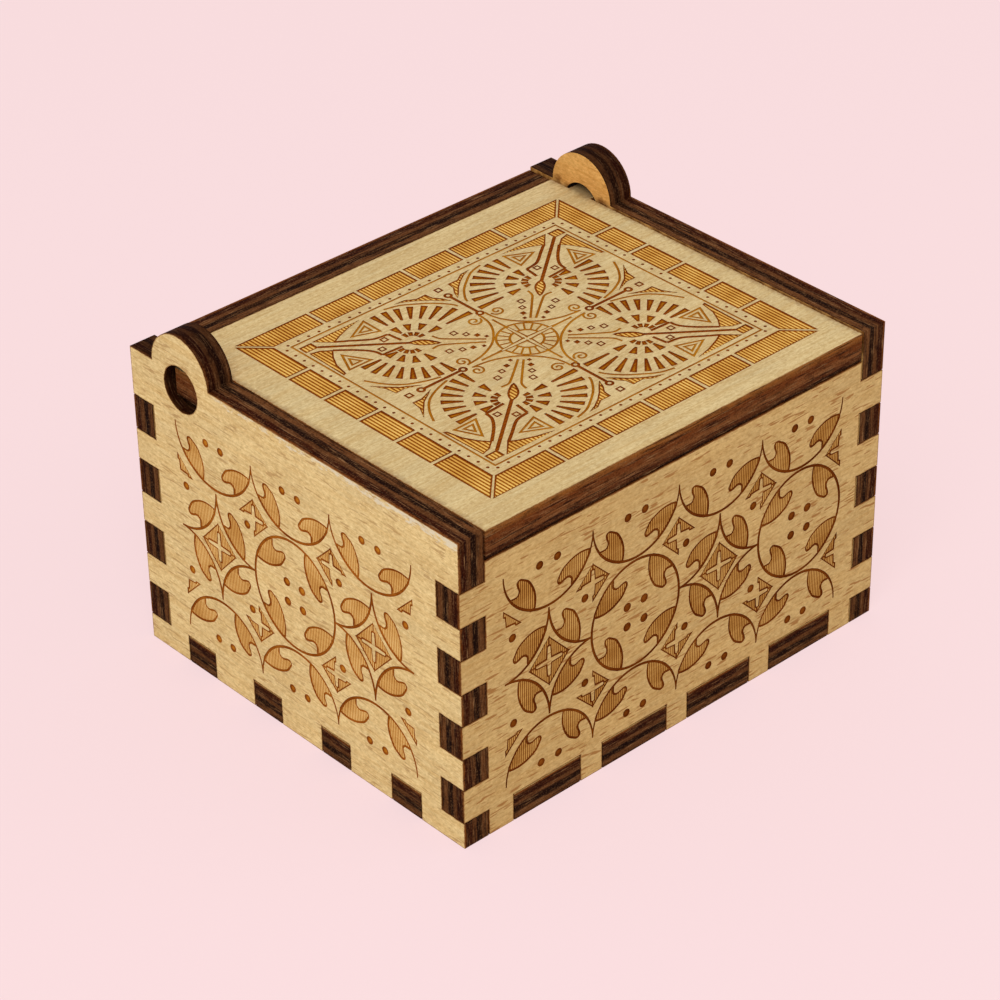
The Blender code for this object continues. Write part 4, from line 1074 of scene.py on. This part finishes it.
def brushed_metal(name, tone, axis, rough, tarnish):
    """Rolled or drawn metal: fine lines along one axis, and dull patches."""
    made = Shader(name)
    lines = made.noise(along(axis, 6.0, 0.05), (0, 0, 0), 3.0, 0.6)
    patches = made.noise((2.5, 2.5, 2.5), (3, 8, 2), 4.0)
    colour = made.mix(made.spread(lines, 0.35, 0.7, 0.0, 0.5), tone, shade(tone, 0.78))
    colour = made.mix(made.spread(patches, 0.48, 0.75, 0.0, 0.6), colour, tarnish)
    scratched = made.spread(lines, 0.3, 0.7, rough - 0.06, rough + 0.08)
    roughness = made.maths("ADD", scratched, made.spread(patches, 0.45, 0.8, 0.0, 0.18))
    return made.finish(colour, roughness, lines, 0.25, 0.01, Metallic=1.0)


def cast_metal(name, tone, rough):
    """Die-cast or poured metal: pitted skin with grey bloom."""
    made = Shader(name)
    grain = made.noise((0.35, 0.35, 0.35), (0, 0, 0), 4.0, 0.6)
    bloom = made.noise((3.0, 3.0, 3.0), (1, 6, 4))
    colour = made.mix(made.spread(bloom, 0.4, 0.7), tone, shade(tone, 0.7))
    colour = made.mix(made.spread(grain, 0.5, 0.8, 0.0, 0.5), colour, shade(tone, 0.5))
    roughness = made.spread(grain, 0.3, 0.7, rough - 0.08, rough + 0.12)
    return made.finish(colour, roughness, grain, 0.4, 0.05, Metallic=1.0)


def moulded(name, tone, rough):
    """Moulded plastic: faint ripples, cloudy tone and light scuffs."""
    made = Shader(name)
    ripple = made.noise((0.8, 0.8, 0.8))
    cloud = made.noise((4.0, 4.0, 4.0), (2, 5, 7), 2.0)
    scuff = made.noise((0.12, 1.8, 0.12), (6, 3, 1), 2.0)
    colour = made.mix(made.spread(cloud, 0.35, 0.7), tone, shade(tone, 0.88))
    colour = made.mix(made.spread(scuff, 0.62, 0.8, 0.0, 0.3), colour, shade(tone, 0.7))
    roughness = made.spread(scuff, 0.4, 0.75, rough, rough + 0.2)
    return made.finish(colour, roughness, ripple, 0.2, 0.03, **{"Specular IOR Level": 0.45})


def dress_solids():
    """Finishes of the solids that are shown as they are."""
    low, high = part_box("bottom_panel")
    steel = brushed_metal("nickel_steel", (0.62, 0.61, 0.58), 1, 0.26, (0.40, 0.38, 0.35))
    comb = brushed_metal("comb_steel", (0.56, 0.57, 0.58), 0, 0.30, (0.36, 0.35, 0.34))
    crank = brushed_metal("crank_nickel", (0.66, 0.64, 0.60), 2, 0.20, (0.45, 0.42, 0.38))
    brass = brushed_metal("cylinder_brass", (0.74, 0.60, 0.27), 1, 0.28, (0.46, 0.34, 0.13))
    worm = brushed_metal("worm_brass", (0.72, 0.57, 0.25), 0, 0.30, (0.45, 0.32, 0.12))
    zinc = cast_metal("cast_zinc", (0.50, 0.50, 0.51), 0.45)
    plated = brushed_metal("plated_bracket", (0.58, 0.58, 0.57), 2, 0.34, (0.40, 0.39, 0.37))
    lead = cast_metal("lead", (0.20, 0.20, 0.21), 0.6)
    nylon = moulded("nylon", (0.76, 0.74, 0.68), 0.38)
    grip = moulded("grip_plastic", (0.82, 0.80, 0.74), 0.30)
    floor = floor_board("floor_plywood", high.z / MM, low.z / MM)
    finishes = {"bottom_panel": floor, "movement_bed": zinc, "worm_bracket": plated, "comb": comb,
                "pinned_cylinder": brass, "worm": worm, "worm_wheel": nylon, "crank_handle": crank,
                "front_cylinder_cap": nylon, "back_cylinder_cap": nylon, "crank_knob": grip}
    for node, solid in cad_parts.items():
        finish = finishes.get(node, lead if node.startswith("tooth_weight") else steel)
        for material_slot in solid.material_slots:
            material_slot.material = finish


# Boards: directions of u and v on the outer face, seen from outside
AXES = {"left_panel": ((0, -1, 0), (0, 0, 1)), "right_panel": ((0, 1, 0), (0, 0, 1)),
        "front_panel": ((1, 0, 0), (0, 0, 1)), "back_panel": ((-1, 0, 0), (0, 0, 1)),
        "lid": ((1, 0, 0), (0, 1, 0))}

# Vine borders: middle, pitch of the columns, kinds of column, and rows as vine_border takes them
SIDE_ROWS = (14.1, 6.4, 7.2, 7.2)
FRONT_ROWS = (13.85, 6.45, 7.0, 7.1)
BORDERS = {"left_panel": ((0.0, 19.6), 13.3, ("star", "ring", "star"), SIDE_ROWS),
           "right_panel": ((0.0, 19.6), 13.3, ("star", "ring", "open star"), SIDE_ROWS),
           "front_panel": ((-0.2, 18.9), 13.05, ("star", "ring", "star", "ring"), FRONT_ROWS),
           "back_panel": ((0.0, 18.9), 13.05, ("star", "ring", "star", "ring"), FRONT_ROWS)}
MANDALA_CENTRE = (0.86, -2.12)

TONES = {SIDE: SIDE_TONE, FRONT: FRONT_TONE, TOP: LID_TONE}
BURNS = {SIDE: SIDE_BURNS, FRONT: FRONT_BURNS, TOP: LID_BURNS}


def board_materials(board):
    """Material of each level and slot of a board."""
    axis = max(range(3), key=lambda i: abs(board.normal[i]))
    grain = 1 if axis == SIDE else 0
    tone = TONES[axis]
    outer = board.face / MM * board.normal[axis]
    inner = outer - board.thickness * board.normal[axis]
    materials = {
        FACE: veneer(board.node + "_face", tone, grain, axis),
        RIM: scorched(board.node + "_rim", tone, grain),
        EDGE: charred(board.node + "_edge", axis, outer, inner),
        BACK: toned_and_shaded_inside(board.node + "_inside", tone, grain),
    }
    for level, tones in BURNS[axis].items():
        raster = LID_PITCH if axis == TOP and level in (HATCH, LINE) else None
        materials[level] = burnt(board.node + "_" + BURN_NAMES[level], tones, grain, raster)
    return materials


def build_boards():
    for node, axes in AXES.items():
        board = Board(node, *axes)
        if node == "lid":
            ornament, body = lid_ornament(MANDALA_CENTRE), "lid"
        else:
            ornament, body = vine_border(*BORDERS[node]), "box"
        engraved_board(board, ornament, board_materials(board), body)


def aim(obj, ahead, right):
    """Point a camera or lamp along a direction."""
    back = -ahead.normalized()
    up = back.cross(right).normalized()
    side = up.cross(back).normalized()
    obj.matrix_world = Matrix.Translation(obj.location) @ Matrix((side, up, back)).transposed().to_4x4()


def make_camera():
    camera = bpy.data.objects.new("camera", bpy.data.cameras.new("camera"))
    bpy.context.scene.collection.objects.link(camera)
    camera.data.lens = CAMERA_LENS
    camera.data.sensor_width = SENSOR_WIDTH
    camera.data.clip_start = 0.01
    camera.location = CAMERA_PLACE
    aim(camera, CAMERA_AHEAD, CAMERA_RIGHT)
    bpy.context.scene.camera = camera


def make_lamp(name, place, size, power):
    """Square soft lamp that points at the box."""
    data = bpy.data.lights.new(name, "AREA")
    data.energy = power
    data.size = size
    lamp = bpy.data.objects.new(name, data)
    lamp.location = place
    bpy.context.scene.collection.objects.link(lamp)
    ahead = LAMP_TARGET - Vector(place)
    aim(lamp, ahead, ahead.cross(Vector((0, 0, 1))))


def seen_directly(made):
    """One where the camera, a mirror or glass sees the surface, else nought."""
    path = made.node("LightPath")
    total = made.maths("ADD", path.outputs["Is Camera Ray"], path.outputs["Is Glossy Ray"])
    return made.maths("MINIMUM", made.maths("ADD", total, path.outputs["Is Transmission Ray"]), 1.0)


def floor_material():
    """Pale floor: the backdrop's colour with the box's shadow where it is seen, grey to the light."""
    made = Shader("floor")
    links = made.tree.links
    seen = seen_directly(made)
    glow = made.node("Emission", {"Color": BACKDROP, "Strength": FLOOR_GLOW})
    paint = made.node("BsdfDiffuse", {"Color": shade(BACKDROP, FLOOR_PAINT)})
    pale = made.node("BsdfDiffuse", {"Color": FLOOR_GREY})
    both = made.node("AddShader")
    links.new(glow.outputs[0], both.inputs[0])
    links.new(paint.outputs[0], both.inputs[1])
    pick = made.node("MixShader", {0: seen})
    links.new(pale.outputs[0], pick.inputs[1])
    links.new(both.outputs[0], pick.inputs[2])
    links.new(pick.outputs[0], made.tree.nodes["Material Output"].inputs[0])
    return made.material


def make_floor():
    half = FLOOR_SIZE / 2
    corners = [(-half, -half, 0), (half, -half, 0), (half, half, 0), (-half, half, 0)]
    mesh = bpy.data.meshes.new("floor")
    mesh.from_pydata(corners, [], [(0, 1, 2, 3)])
    floor = bpy.data.objects.new("floor", mesh)
    floor.location.z = CAD_BOX[0].z - FLOOR_GAP
    bpy.context.scene.collection.objects.link(floor)
    mesh.materials.append(floor_material())


def make_world():
    """White light all round, and the backdrop's colour where it is seen."""
    world = bpy.data.worlds.new("studio")
    world.use_nodes = True
    bpy.context.scene.world = world
    made = Nodes(world.node_tree)
    back = made.tree.nodes["Background"]
    seen = seen_directly(made)
    colour = made.mix(seen, (1.0, 1.0, 1.0), BACKDROP)
    made.feed(back.inputs["Color"], colour)
    strength = made.spread(seen, 0.0, 1.0, WORLD_STRENGTH, 1.0)
    made.feed(back.inputs["Strength"], strength)


def main():
    bpy.context.scene.view_settings.view_transform = "Standard"
    make_camera()
    make_floor()
    make_world()
    for values in LAMPS:
        make_lamp(*values)
    build_boards()
    dress_solids()


main()
